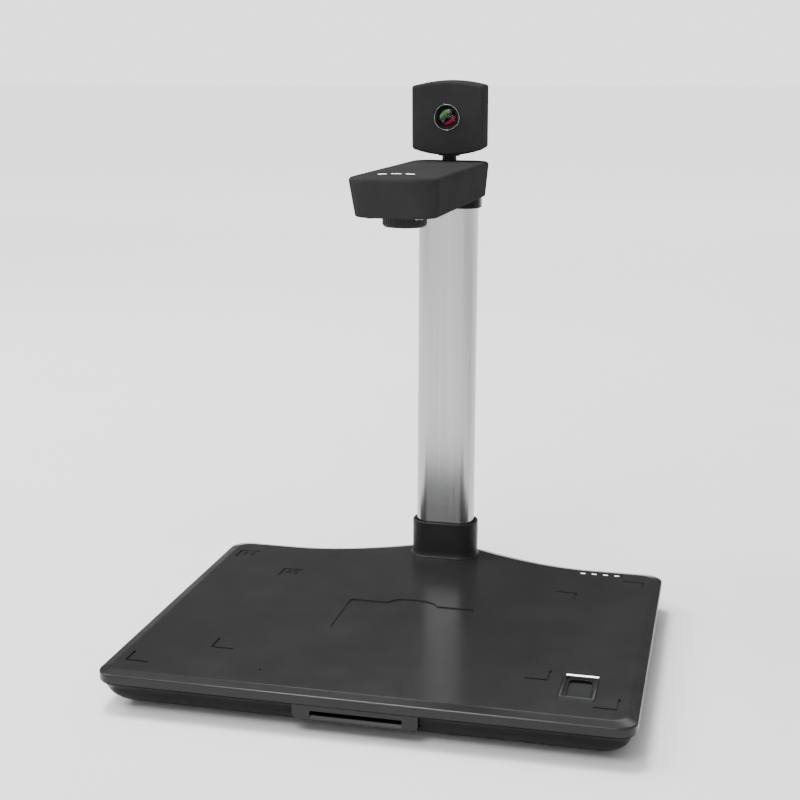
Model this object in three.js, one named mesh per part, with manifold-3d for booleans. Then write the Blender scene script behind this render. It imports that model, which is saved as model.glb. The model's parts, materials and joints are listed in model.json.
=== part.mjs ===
// Book scanner: a flat base with a document bed, a column, a camera head over the bed
// and a small portrait camera that pans and tilts on top.
// Units are millimetres. +Z is up, +Y points to the back, and Z = 0 is the table.
import * as THREE from 'three';
import { mergeVertices } from 'three/addons/utils/BufferGeometryUtils.js';
import Module from 'manifold-3d';

const wasm = await Module();
wasm.setup();

// ---------------------------------------------------------------- driving dimensions
const GAP = 0.3;                 // clearance between neighbouring pieces
const BASE = { halfWidth: 161, front: -144, back: 110, bulgeBack: 144, top: 26, bottom: 2 };
BASE.cornerRadius = 12;
BASE.seam = 18.8;                // lower edge of the top cover
const WALL = 2.4;                // wall of the moulded covers
const BED = { x: 0, y: -18 };    // middle of the document bed
const A4 = { x: 148.5, y: 105 }; // half sizes of the landscape sheets
const A5 = { x: 105, y: 74 };
const CARD = { length: 85.6, width: 54, recess: 0.7 };
const COLUMN = { x: 0, y: 119.5, width: 42, depth: 22.8, radius: 10, wall: 2.2, bottom: 14.4, top: 297 };
const COLLAR = { wall: 2.2, play: 0.8, height: 26.4 };
const HEAD = { halfWidth: 27.6, front: -60.6, rear: 134.5, bottom: 290.4, top: 314.7, wall: 2 };
HEAD.frontRadius = 15.6;
HEAD.rearRadius = 14;
HEAD.draft = { side: 2, front: 7.4, rear: 1.1 };  // how much narrower the underside is
const LENS = { x: BED.x, y: BED.y, barrelRadius: 10.6, ringRadius: 13.8, bottom: 282.6 };
const CAM = { halfWidth: 25, front: 110, rear: 134.5, bottom: 319.3, top: 369.7, sag: 3.4, crown: 2.7 };
CAM.seamY = COLUMN.y;            // the two halves of the camera body meet on the tilt axis
CAM.axisZ = 325;                 // height of the tilt axis
CAM.lensZ = 345.4;
CAM.tilt = 2.5;                  // degrees that the camera looks down at rest
const KNUCKLE = { radius: 6.8, width: 14.6, stemRadius: 5.1, bore: 1.8, play: 0.5 };

// ---------------------------------------------------------------- geometry helpers
function solid(geometry) {
  const bare = geometry.clone();
  bare.deleteAttribute('normal');
  bare.deleteAttribute('uv');
  const merged = mergeVertices(bare, 1e-4);
  const index = merged.index.array;
  const triVerts = [];
  for (let i = 0; i < index.length; i += 3) {
    const [a, b, c] = [index[i], index[i + 1], index[i + 2]];
    if (a !== b && b !== c && a !== c) triVerts.push(a, b, c);
  }
  return new wasm.Manifold(new wasm.Mesh({
    numProp: 3,
    vertProperties: new Float32Array(merged.attributes.position.array),
    triVerts: new Uint32Array(triVerts),
  }));
}

function toGeometry(manifold) {
  const mesh = manifold.getMesh();
  const geometry = new THREE.BufferGeometry();
  const vertices = new Float32Array(mesh.vertProperties);
  geometry.setAttribute('position', new THREE.BufferAttribute(vertices, 3));
  geometry.setIndex(new THREE.BufferAttribute(new Uint32Array(mesh.triVerts), 1));
  geometry.computeVertexNormals();
  return geometry;
}

const join = (...pieces) => pieces.reduce((sum, piece) => sum.add(piece));
const cut = (body, ...tools) => tools.reduce((rest, tool) => rest.subtract(tool), body);

function box(x0, x1, y0, y1, z0, z1) {
  const geometry = new THREE.BoxGeometry(x1 - x0, y1 - y0, z1 - z0);
  return solid(geometry.translate((x0 + x1) / 2, (y0 + y1) / 2, (z0 + z1) / 2));
}

function upright(radius, x, y, z0, z1, sides = 32) {
  const geometry = new THREE.CylinderGeometry(radius, radius, z1 - z0, sides);
  return solid(geometry.rotateX(Math.PI / 2).translate(x, y, (z0 + z1) / 2));
}

function alongY(radius, x, z, y0, y1, sides = 32) {
  const geometry = new THREE.CylinderGeometry(radius, radius, y1 - y0, sides);
  return solid(geometry.translate(x, (y0 + y1) / 2, z));
}

function alongX(radius, y, z, x0, x1, sides = 32) {
  const geometry = new THREE.CylinderGeometry(radius, radius, x1 - x0, sides);
  return solid(geometry.rotateZ(Math.PI / 2).translate((x0 + x1) / 2, y, z));
}

function plate(shape, z0, z1, curveSegments = 3) {
  const geometry = new THREE.ExtrudeGeometry(shape, { depth: z1 - z0, bevelEnabled: false, curveSegments });
  return solid(geometry.translate(0, 0, z0));
}

function turned(profile, x, y, sides = 48) {
  // profile: [radius, height] pairs from the lower axis point to the upper one
  const points = profile.map(([r, z]) => new THREE.Vector2(r, z));
  return solid(new THREE.LatheGeometry(points, sides).rotateX(Math.PI / 2).translate(x, y, 0));
}

function roundedRect(x0, x1, y0, y1, radius) {
  const shape = new THREE.Shape();
  shape.moveTo(x0 + radius, y0);
  shape.lineTo(x1 - radius, y0);
  shape.absarc(x1 - radius, y0 + radius, radius, -Math.PI / 2, 0);
  shape.lineTo(x1, y1 - radius);
  shape.absarc(x1 - radius, y1 - radius, radius, 0, Math.PI / 2);
  shape.lineTo(x0 + radius, y1);
  shape.absarc(x0 + radius, y1 - radius, radius, Math.PI / 2, Math.PI);
  shape.lineTo(x0, y0 + radius);
  shape.absarc(x0 + radius, y0 + radius, radius, Math.PI, 1.5 * Math.PI);
  return shape;
}

// A closed skin through outlines of equal point count, each at its own height.
function loft(rings) {
  const count = rings[0].points.length;
  const position = rings.flatMap(({ z, points }) => points.flatMap((p) => [p.x, p.y, z]));
  const index = [];
  for (let level = 0; level + 1 < rings.length; level += 1) {
    for (let i = 0; i < count; i += 1) {
      const a = level * count + i;
      const b = level * count + ((i + 1) % count);
      index.push(a, b, b + count, a, b + count, a + count);
    }
  }
  const last = (rings.length - 1) * count;
  THREE.ShapeUtils.triangulateShape(rings[0].points, []).forEach(([a, b, c]) => index.push(a, c, b));
  THREE.ShapeUtils.triangulateShape(rings.at(-1).points, []).forEach(([a, b, c]) => {
    index.push(last + a, last + b, last + c);
  });
  const geometry = new THREE.BufferGeometry();
  geometry.setAttribute('position', new THREE.Float32BufferAttribute(position, 3));
  geometry.setIndex(index);
  return solid(geometry);
}

// The outline's own points: each quarter circle in arcSteps, each other curve in curveSteps.
function outline(shape, arcSteps, curveSteps = 8) {
  const points = shape.curves.flatMap((curve) => {
    const steps = curve.isLineCurve ? 1 : curve.isEllipseCurve ? arcSteps : curveSteps;
    return curve.getPoints(steps).slice(0, -1);
  });
  return points.filter((p, i) => p.distanceTo(points[(i + points.length - 1) % points.length]) > 1e-3);
}

// ---------------------------------------------------------------- meshes and materials
const FINISH = {
  cover: { color: 0x2a2b2e, roughness: 0.45, metalness: 0 },
  collar: { color: 0x17181a, roughness: 0.5, metalness: 0 },
  inner: { color: 0x222326, roughness: 0.6, metalness: 0 },
  aluminium: { color: 0xb8bbbf, roughness: 0.35, metalness: 1 },
  steel: { color: 0x8d9095, roughness: 0.35, metalness: 1 },
  chrome: { color: 0xe4e6e8, roughness: 0.1, metalness: 1 },
  rubber: { color: 0x141414, roughness: 0.9, metalness: 0 },
  glass: { color: 0x10161c, roughness: 0.05, metalness: 0 },
  light: { color: 0xf4f8ff, roughness: 0.4, metalness: 0 },
  circuit: { color: 0x1d5a3a, roughness: 0.5, metalness: 0 },
  cable: { color: 0x1a1a1c, roughness: 0.6, metalness: 0 },
};
const scanner = new THREE.Group();

// The portrait camera leans forward about its tilt axis; its pieces are drawn upright.
const tilted = new THREE.Group();
tilted.position.set(0, COLUMN.y, CAM.axisZ);
tilted.rotation.x = THREE.MathUtils.degToRad(CAM.tilt);
scanner.add(tilted);

function add(name, finish, manifold, group = scanner) {
  const mesh = new THREE.Mesh(toGeometry(manifold), new THREE.MeshStandardMaterial(FINISH[finish]));
  mesh.name = name;
  if (group === tilted) mesh.position.copy(tilted.position).negate();
  group.add(mesh);
}

// ---------------------------------------------------------------- base covers
// Plan outline of the base, drawn in by inset: a rounded rectangle that swells at the
// back, round the foot of the column.
function baseOutline(inset) {
  const w = BASE.halfWidth - inset;
  const front = BASE.front + inset;
  const back = BASE.back - inset;
  const r = Math.max(BASE.cornerRadius - 0.5 * inset, 4);
  const swellX = 34 - 0.48 * inset;
  const swellY = 132.5 - 0.88 * inset;
  const shape = new THREE.Shape();
  shape.moveTo(-w + r, front);
  shape.lineTo(w - r, front);
  shape.absarc(w - r, front + r, r, -Math.PI / 2, 0);
  shape.lineTo(w, back - r);
  shape.absarc(w - r, back - r, r, 0, Math.PI / 2);
  shape.lineTo(108, back);
  shape.bezierCurveTo(84, back + 0.5, 58 - 0.3 * inset, back + 10, swellX, swellY);
  shape.quadraticCurveTo(13, BASE.bulgeBack - inset, 0, BASE.bulgeBack - inset);
  shape.quadraticCurveTo(-13, BASE.bulgeBack - inset, -swellX, swellY);
  shape.bezierCurveTo(-58 + 0.3 * inset, back + 10, -84, back + 0.5, -108, back);
  shape.lineTo(-w + r, back);
  shape.absarc(-w + r, back - r, r, Math.PI / 2, Math.PI);
  shape.lineTo(-w, front + r);
  shape.absarc(-w + r, front + r, r, Math.PI, 1.5 * Math.PI);
  return outline(shape, 5);
}

const baseLoft = (levels) => loft(levels.map(([z, inset]) => ({ z, points: baseOutline(inset) })));

const SCREW_SPOTS = [[-100, -116], [100, -116], [-132, -5], [132, -5], [-90, 84], [90, 84]];
const FOOT_SPOTS = [[-122, -104], [122, -104], [-122, 70], [122, 70]];
const BOARD_SPOTS = [[-66, -52], [66, -52], [-66, -12], [66, -12]];

function columnRing(offset, z0, z1) {
  const [w, d] = [COLUMN.width / 2 + offset, COLUMN.depth / 2 + offset];
  const shape = roundedRect(COLUMN.x - w, COLUMN.x + w, COLUMN.y - d, COLUMN.y + d, COLUMN.radius + offset);
  return plate(shape, z0, z1, 4);
}

// An L-shaped groove in the bed at one corner of a sheet.
function cornerMark(x, y) {
  const [arm, half, depth] = [14, 0.6, 0.35];
  const [sx, sy] = [Math.sign(x), Math.sign(y)];
  const inX = [x - sx * arm, x + sx * half].sort((a, b) => a - b);
  const inY = [y - sy * arm, y + sy * half].sort((a, b) => a - b);
  const z = [BASE.top - depth, BASE.top + 1];
  return join(
    box(inX[0], inX[1], BED.y + y - half, BED.y + y + half, ...z),
    box(x - half, x + half, BED.y + inY[0], BED.y + inY[1], ...z),
  );
}

// The shallow seat for an identity card, with a thumb notch in its back edge.
function cardRecess() {
  const [halfX, halfY] = [CARD.length / 2, CARD.width / 2];
  const back = BED.y + halfY;
  const notch = new THREE.Shape();
  notch.moveTo(-17, back - 1);
  notch.lineTo(17, back - 1);
  notch.lineTo(17, back);
  notch.bezierCurveTo(14, back + 7, 8, back + 8.2, 0, back + 8.2);
  notch.bezierCurveTo(-8, back + 8.2, -14, back + 7, -17, back);
  const seat = roundedRect(-halfX, halfX, BED.y - halfY, back, 2.5);
  const z = [BASE.top - CARD.recess, BASE.top + 1];
  return join(plate(seat, ...z), plate(notch, ...z));
}

const FINGER = { x: 124, y: BED.y - 81.7, width: 20.8, depth: 31.6 };
const LIGHT_BAR = { x: 124.4, y: BED.y - 63.4, width: 19.2, depth: 1.7 };
const STATUS = { x: 105.3, pitch: 8, y: BED.y + 115, width: 3.4, depth: 1.2 };
const MICROPHONE = { x: -64.5, y: BED.y - 99.4 };

const rectAt = ({ x, y, width, depth }, grow, radius) => roundedRect(
  x - width / 2 - grow, x + width / 2 + grow, y - depth / 2 - grow, y + depth / 2 + grow, radius,
);
const statusSpot = (i) => ({ ...STATUS, x: STATUS.x + i * STATUS.pitch });

function addBaseTopCover() {
  const outer = baseLoft([
    [BASE.seam, 0.4], [BASE.seam + 0.4, 0], [23.6, 0], [24.2, 0.2], [24.6, 0.8],
    [25.75, 5.9], [25.93, 6.7], [BASE.top, 7.6],
  ]);
  const inner = baseLoft([[BASE.seam - 1, WALL], [22.2, WALL], [BASE.top - WALL, 7]]);
  let cover = cut(outer, inner);
  for (const [x, y] of SCREW_SPOTS) cover = cover.add(upright(3.6, x, y, 8.6, 24.5, 12));
  for (const [x, y] of SCREW_SPOTS) cover = cover.subtract(upright(1.6, x, y, 8, 18, 10));
  for (const sx of [-1, 1]) {
    for (const sy of [-1, 1]) {
      cover = cut(cover, cornerMark(sx * A4.x, sy * A4.y), cornerMark(sx * A5.x, sy * A5.y));
    }
  }
  cover = cut(cover, cardRecess(), columnRing(0.5, 20, 30));
  cover = cut(cover, plate(rectAt(FINGER, GAP, 2), 20, 30), plate(rectAt(LIGHT_BAR, GAP, 0.9), 20, 30));
  for (let i = 0; i < 4; i += 1) {
    cover = cover.subtract(plate(rectAt(statusSpot(i), GAP, 0.7), 20, 30));
  }
  cover = cover.subtract(upright(0.7, MICROPHONE.x, MICROPHONE.y, 20, 30, 12));
  add('base_top_cover', 'cover', cover);
}

const SLOT = { x: 1.1, halfWidth: 27.4, bottom: 11.2, top: 15.6, lip: 0.9 };
const BEZEL = { x: 0.5, halfWidth: 37.5, bottom: 9.5, top: 18.4, front: -143.4, rear: -133 };
const PORTS = { x: -122, halfWidth: 19, bottom: 8.6, top: 17.2, face: 109.4, inner: 97 };

// The ends in x of a piece that is halfWidth to each side of its middle, each moved out by grow.
const widened = ({ x, halfWidth }, grow) => [x - halfWidth - grow, x + halfWidth + grow];

function addBaseBottomCover() {
  const outer = baseLoft([
    [BASE.bottom, 18], [3.2, 14.6], [6, 10], [10, 5.8], [14, 3.8], [16, 2.7], [18.1, 0.7], [18.5, 1],
  ]);
  const inner = baseLoft([[4.4, 18.2], [6.4, 13], [10.4, 8.4], [14, 6.4], [18.1, 3.6], [20, 3.6]]);
  let cover = cut(outer, inner);
  for (const [x, y] of BOARD_SPOTS) cover = cover.add(upright(3.2, x, y, 4, 9.7, 12));
  for (const [x, y] of SCREW_SPOTS) {
    cover = cover.add(upright(4.8, x, y, 3, 8.3, 14));
    cover = cut(cover, upright(3.2, x, y, 1, 5.4, 18), upright(1.7, x, y, 5, 9, 10));
  }
  for (const [x, y] of FOOT_SPOTS) cover = cover.subtract(upright(9.3, x, y, 1, 3.1, 24));
  const bezelRoom = widened(BEZEL, GAP);
  const portRoom = widened(PORTS, GAP);
  cover = cut(
    cover,
    box(...bezelRoom, BEZEL.front - 6, -128, BEZEL.bottom - GAP, 20),
    box(...portRoom, PORTS.inner - 2, PORTS.face + 6, PORTS.bottom - GAP, PORTS.top + GAP),
  );
  add('base_bottom_cover', 'cover', cover);
}

function addFeet() {
  FOOT_SPOTS.forEach(([x, y], i) => {
    add(`foot_${i + 1}`, 'rubber', turned([[0, 0], [8, 0], [9, 0.6], [9, 2.8], [0, 2.8]], x, y, 24));
  });
}

// The cross in a screw head, reach long on each arm.
function crossSlot(x, y, reach, z0, z1) {
  const half = 0.3;
  return join(
    box(x - reach, x + reach, y - half, y + half, z0, z1),
    box(x - half, x + half, y - reach, y + reach, z0, z1),
  );
}

function addBaseScrews() {
  SCREW_SPOTS.forEach(([x, y], i) => {
    const profile = [[0, 2.9], [2.4, 2.9], [2.9, 3.6], [2.9, 5.1], [1.3, 5.1], [1.3, 16], [0, 16.8]];
    add(`base_screw_${i + 1}`, 'steel', cut(turned(profile, x, y, 14), crossSlot(x, y, 1.6, 2, 3.9)));
  });
}

// ---------------------------------------------------------------- card slot
function addCardReader() {
  const { x, halfWidth, bottom, top, lip } = SLOT;
  const face = new THREE.Shape();
  const [x0, x1] = widened(BEZEL, 0);
  face.moveTo(x0 + 3, BEZEL.bottom);
  face.lineTo(x1 - 3, BEZEL.bottom);
  face.absarc(x1 - 3, BEZEL.bottom + 3, 3, -Math.PI / 2, 0);
  face.lineTo(x1, BEZEL.top);
  face.lineTo(x0, BEZEL.top);
  face.absarc(x0 + 3, BEZEL.bottom + 3, 3, Math.PI, 1.5 * Math.PI);
  const depth = BEZEL.rear - BEZEL.front;
  const block = new THREE.ExtrudeGeometry(face, { depth, bevelEnabled: false, curveSegments: 6 });
  block.rotateX(Math.PI / 2).translate(0, BEZEL.rear, 0);
  const slope = new THREE.Shape([
    new THREE.Vector2(BEZEL.front - 1, bottom - 1.5 * lip),
    new THREE.Vector2(BEZEL.front + 2, bottom + 0.02),
    new THREE.Vector2(BEZEL.front - 1, bottom + 1),
  ]);
  const ramp = new THREE.ExtrudeGeometry(slope, { depth: 2 * halfWidth, bevelEnabled: false });
  ramp.rotateY(Math.PI / 2).rotateX(Math.PI / 2).translate(x - halfWidth, 0, 0);
  const mouth = box(x - halfWidth, x + halfWidth, BEZEL.front - 2, BEZEL.rear + 2, bottom, top);
  add('card_slot_bezel', 'collar', cut(solid(block), mouth, solid(ramp)));

  const shell = box(x - 32, x + 32, BEZEL.rear + GAP, -78, 8.9, 18);
  const pocket = box(x - halfWidth, x + halfWidth, -140, -80.5, bottom, top);
  const window = box(x - 10, x + 10, -110, -96, 16, 20);
  add('card_reader_module', 'inner', cut(shell, pocket, window));
}

// ---------------------------------------------------------------- rear sockets
function addRearPorts() {
  const { x, halfWidth, bottom, top, face, inner } = PORTS;
  const usb = { x: x + 9, z: 13, width: 9.4, height: 3.8 };
  const jack = { x: x - 8, z: 12.9 };
  const usbTool = (grow, y0, y1) => {
    const [w, h] = [usb.width / 2 + grow, usb.height / 2 + grow];
    const shape = roundedRect(usb.x - w, usb.x + w, usb.z - h, usb.z + h, h - 0.01);
    const options = { depth: y1 - y0, bevelEnabled: false, curveSegments: 4 };
    return solid(new THREE.ExtrudeGeometry(shape, options).rotateX(Math.PI / 2).translate(0, y1, 0));
  };
  const panel = box(x - halfWidth, x + halfWidth, inner + 7, face, bottom, top);
  const jackRoom = alongY(3 + GAP, jack.x, jack.z, 95, 120, 28);
  add('rear_port_panel', 'collar', cut(panel, usbTool(GAP, 95, 120), jackRoom));
  const tongue = box(usb.x - 3.2, usb.x + 3.2, inner + 1, face - 1.4, usb.z - 0.4, usb.z + 0.4);
  const shell = cut(usbTool(0, inner, face - 0.4), usbTool(-0.5, inner + 1.5, face + 2));
  add('usb_socket', 'steel', join(shell, tongue));
  const body = alongY(3, jack.x, jack.z, inner - 2, face - 0.4, 28);
  const well = alongY(2.3, jack.x, jack.z, inner + 1, face + 2, 28);
  const pin = alongY(0.7, jack.x, jack.z, inner, face - 1.6, 12);
  add('power_inlet', 'inner', join(cut(body, well), pin));
}

// ---------------------------------------------------------------- inside the base
function addBaseInsides() {
  const ballast = roundedRect(-82, 82, 0, 96, 4);
  let weight = plate(ballast, 4.8, 9.8);
  for (const [x, y] of BOARD_SPOTS) weight = weight.subtract(upright(4, x, y, 3, 12, 12));
  add('ballast_plate', 'steel', weight);
  add('column_socket', 'aluminium', cut(
    join(columnRing(3, 12, 23.2), box(-30, 30, 72, 112, 10.1, 14)),
    columnRing(GAP, 14, 24),
    upright(4, COLUMN.x, COLUMN.y, 9, 15, 20),
  ));
  const board = roundedRect(-72, 72, -58, -6, 2);
  const chip = roundedRect(-14, 14, -44, -18, 0.5);
  const chips = [plate(chip, 11, 13.4), box(30, 48, -40, -28, 11, 13), box(-50, -36, -48, -20, 11, 14)];
  add('main_circuit_board', 'circuit', join(plate(board, 10, 11.6), ...chips));
  const capsule = turned([[0, 21.5], [2.6, 21.5], [2.6, 23.2], [0, 23.2]], MICROPHONE.x, MICROPHONE.y, 24);
  add('microphone', 'steel', capsule);
}

// ---------------------------------------------------------------- fingerprint reader
function addFingerprintReader() {
  const { x, y, width, depth } = FINGER;
  const frameTop = BASE.top + 0.5;
  const outer = plate(rectAt(FINGER, 0, 1.7), 21, frameTop);
  const well = { x: x + 0.6, y: y + 0.3, width: width - 6, depth: depth - 9 };
  const levels = [[22.4, 0], [24.6, 0], [frameTop + 0.02, 1.9]];
  const funnel = loft(levels.map(([z, grow]) => ({
    z, points: outline(rectAt(well, grow, 1.2 + grow), 4),
  })));
  const through = plate(rectAt(well, 0, 1.2), 20, 25);
  const [lipStart, lipEnd] = [y - depth / 2 - 1, y - depth / 2 + 3.4];
  const slope = new THREE.Shape([
    new THREE.Vector2(lipStart, BASE.top + 2), new THREE.Vector2(lipStart, BASE.top - 0.3),
    new THREE.Vector2(lipEnd, BASE.top + 0.6), new THREE.Vector2(lipEnd, BASE.top + 2),
  ]);
  const ramp = new THREE.ExtrudeGeometry(slope, { depth: width + 4, bevelEnabled: false });
  ramp.rotateY(Math.PI / 2).rotateX(Math.PI / 2).translate(x - width / 2 - 2, 0, 0);
  add('fingerprint_frame', 'collar', cut(outer, funnel, through, solid(ramp)));
  const pane = rectAt(well, -GAP, 0.9);
  add('fingerprint_window', 'glass', plate(pane, 23.2, 24.4));
  add('fingerprint_sensor', 'circuit', box(x - 12, x + 12, y - 15, y + 15, 17, 20.6));
  add('fingerprint_light_bar', 'light', plate(rectAt(LIGHT_BAR, 0, 0.7), 22.6, BASE.top + 0.1));
}

function addStatusLights() {
  for (let i = 0; i < 4; i += 1) {
    add(`status_light_${i + 1}`, 'light', plate(rectAt(statusSpot(i), 0, 0.5), 22.4, BASE.top + 0.08));
  }
}

// ---------------------------------------------------------------- column and collars
function collarLoft(levels) {
  const [w, d] = [COLUMN.width / 2 + COLLAR.play, COLUMN.depth / 2 + COLLAR.play];
  const r = COLUMN.radius + COLLAR.play;
  return loft(levels.map(([z, grow]) => ({
    z,
    points: outline(roundedRect(
      COLUMN.x - w - grow, COLUMN.x + w + grow, COLUMN.y - d - grow, COLUMN.y + d + grow, r + grow,
    ), 8),
  })));
}

function addColumn() {
  const bar = cut(
    columnRing(0, COLUMN.bottom, COLUMN.top),
    columnRing(-COLUMN.wall, COLUMN.bottom - 1, COLUMN.top + 1),
  );
  add('column', 'aluminium', bar);

  const foot = BASE.top + GAP;
  const top = BASE.top + COLLAR.height;
  const { wall } = COLLAR;
  const skirt = collarLoft([
    [foot, wall + 1.5], [foot + 0.4, wall + 1.1], [foot + 1.2, wall + 0.5], [foot + 2.6, wall + 0.1],
    [foot + 4, wall], [top - 0.6, wall], [top - 0.15, wall - 0.2], [top, wall - 0.6],
  ]);
  add('base_collar', 'collar', cut(skirt, collarLoft([[foot - 1, -0.2], [top - 1, 0], [top + 1, 0.3]])));

  const [low, high] = [282.6, HEAD.bottom - GAP];
  const cuff = collarLoft([
    [low, wall - 1.3], [low + 0.5, wall - 0.8], [low + 1.2, wall - 0.7], [high, wall - 0.7],
  ]);
  add('head_collar', 'collar', cut(cuff, collarLoft([[low - 1, 0], [high + 1, -0.3]])));
}

function addHarness() {
  const [x, y] = [COLUMN.x, COLUMN.y];
  const route = new THREE.CatmullRomCurve3([
    new THREE.Vector3(x, y, 18), new THREE.Vector3(x + 3, y, 90), new THREE.Vector3(x - 3, y, 180),
    new THREE.Vector3(x, y, 299),
  ]);
  const section = new THREE.Shape().absarc(0, 0, 2.2, 0, 2 * Math.PI);
  const geometry = new THREE.ExtrudeGeometry(section, { steps: 12, curveSegments: 4, extrudePath: route });
  add('column_harness', 'cable', solid(geometry));
}

// ---------------------------------------------------------------- head
// Plan outline of the head. The draft runs from 0 at the top face to 1 at the underside;
// the inset draws the outline in evenly.
function headOutline(draft, inset) {
  const w = HEAD.halfWidth - draft * HEAD.draft.side - inset;
  const front = HEAD.front + draft * HEAD.draft.front + inset;
  const rear = HEAD.rear - draft * HEAD.draft.rear - inset;
  const [rf, rr] = [HEAD.frontRadius - draft - inset, HEAD.rearRadius - draft - inset];
  const shape = new THREE.Shape();
  shape.moveTo(-w + rf, front);
  shape.lineTo(w - rf, front);
  shape.absarc(w - rf, front + rf, rf, -Math.PI / 2, 0);
  shape.lineTo(w, rear - rr);
  shape.absarc(w - rr, rear - rr, rr, 0, Math.PI / 2);
  shape.lineTo(-w + rr, rear);
  shape.absarc(-w + rr, rear - rr, rr, Math.PI / 2, Math.PI);
  shape.lineTo(-w, front + rf);
  shape.absarc(-w + rf, front + rf, rf, Math.PI, 1.5 * Math.PI);
  return outline(shape, 8);
}

const headLoft = (levels) => loft(levels.map(([z, draft, inset]) => ({
  z, points: headOutline(draft, inset),
})));

// The three touch keys are arcs of one ring on top of the head.
const KEYS = { x: -1.7, y: BED.y - 15.2, radius: 14, middle: 103.5, pitch: 38, sweep: 25, width: 1.6 };

function keyArc(i, grow, z0, z1) {
  const middle = THREE.MathUtils.degToRad(KEYS.middle + (1 - i) * KEYS.pitch);
  const half = THREE.MathUtils.degToRad(KEYS.sweep / 2) + grow / KEYS.radius;
  const shape = new THREE.Shape();
  shape.absarc(KEYS.x, KEYS.y, KEYS.radius + KEYS.width / 2 + grow, middle - half, middle + half);
  shape.absarc(KEYS.x, KEYS.y, KEYS.radius - KEYS.width / 2 - grow, middle + half, middle - half, true);
  return plate(shape, z0, z1, 5);
}

const HEAD_SCREWS = [[-15, -45], [15, -45], [-19, 72], [19, 72]];
const LAMP = { x: 0, y: BED.y + 34, width: 32, depth: 8 };

function addHeadCovers() {
  const { bottom, top, wall } = HEAD;
  const outer = headLoft([
    [bottom, 1, 1.1], [bottom + 0.3, 1, 0.4], [bottom + 1, 1, 0], [top - 2.4, 0, 0], [top - 1.5, 0, 0.2],
    [top - 0.7, 0, 0.7], [top - 0.2, 0, 1.4], [top, 0, 2.4],
  ]);
  const inner = headLoft([
    [bottom - 1, 1, wall], [bottom + 1, 1, wall], [top - 4.4, 0.1, wall], [top - wall, 0, 4],
  ]);
  let shell = cut(outer, inner, upright(KNUCKLE.stemRadius + GAP, COLUMN.x, COLUMN.y, 305, 320, 40));
  for (let i = 0; i < 3; i += 1) shell = shell.subtract(keyArc(i, GAP, 308, 320));
  for (const [x, y] of HEAD_SCREWS) {
    shell = shell.add(upright(3, x, y, 294.6, 313.4, 16));
    shell = shell.subtract(upright(1.5, x, y, 294, 304, 12));
  }
  add('head_top_cover', 'cover', shell);

  const floor = headLoft([[bottom + 0.5, 1, wall + GAP], [bottom + 2.6, 1, wall + GAP]]);
  let cover = cut(
    floor,
    upright(LENS.barrelRadius + GAP, LENS.x, LENS.y, 285, 300, 32),
    columnRing(GAP, 285, 300),
    plate(rectAt(LAMP, GAP, 3.5), 285, 300),
  );
  for (const [x, y] of HEAD_SCREWS) cover = cover.subtract(upright(1.6, x, y, 285, 300, 16));
  add('head_bottom_cover', 'cover', cover);

  HEAD_SCREWS.forEach(([x, y], i) => {
    const profile = [
      [0, 289.7], [2.2, 289.7], [2.6, 290.2], [2.6, 290.9], [1.2, 290.9], [1.2, 302], [0, 302.6],
    ];
    add(`head_screw_${i + 1}`, 'steel', cut(turned(profile, x, y, 14), crossSlot(x, y, 1.4, 289, 290.4)));
  });
}

function addHeadInsides() {
  for (let i = 0; i < 3; i += 1) add(`touch_key_${i + 1}`, 'light', keyArc(i, 0, 309.5, HEAD.top + 0.1));
  add('touch_key_board', 'circuit', box(-18, 12, -37, -13, 307.4, 309));
  const lensBoard = join(
    box(LENS.x - 16, LENS.x + 16, LENS.y - 11, LENS.y + 18, 303, 304.6),
    box(LENS.x - 8, LENS.x + 8, LENS.y - 8, LENS.y + 8, 301.6, 303.2),
  );
  add('image_sensor_board', 'circuit', lensBoard);
  add('lamp_diffuser', 'light', plate(rectAt(LAMP, 0, 3.2), HEAD.bottom + 0.3, HEAD.bottom + 4));
  add('lamp_board', 'circuit', box(-18, 18, LAMP.y - 5, LAMP.y + 5, HEAD.bottom + 4.5, HEAD.bottom + 6));
  add('pan_bush', 'inner', cut(
    upright(9, COLUMN.x, COLUMN.y, 307.6, 312, 32),
    upright(KNUCKLE.stemRadius + GAP, COLUMN.x, COLUMN.y, 307, 313, 32),
  ));
}

function addMainLens() {
  const { x, y, barrelRadius: r, bottom } = LENS;
  const tube = [[0, bottom + 0.8], [r - 1, bottom + 0.8], [r - 0.3, bottom + 1.4], [r - 0.3, 300], [0, 300]];
  const funnel = [[0, bottom], [8.6, bottom], [7.2, bottom + 3], [7.2, bottom + 8], [0, bottom + 8]];
  add('lens_barrel', 'inner', cut(turned(tube, x, y, 32), turned(funnel, x, y, 32)));
  const [low, mid, high] = [bottom + 3.2, bottom + 5, bottom + 6.8];
  const glass = [[0, low], [3, low + 0.25], [5.2, low + 0.9], [6.9, mid], [6.9, high], [0, high]];
  add('main_lens_glass', 'glass', turned(glass, x, y, 32));
  add('focus_ring', 'collar', cut(ribbedRing(), upright(r + GAP, x, y, 280, 292, 32)));
}

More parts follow.
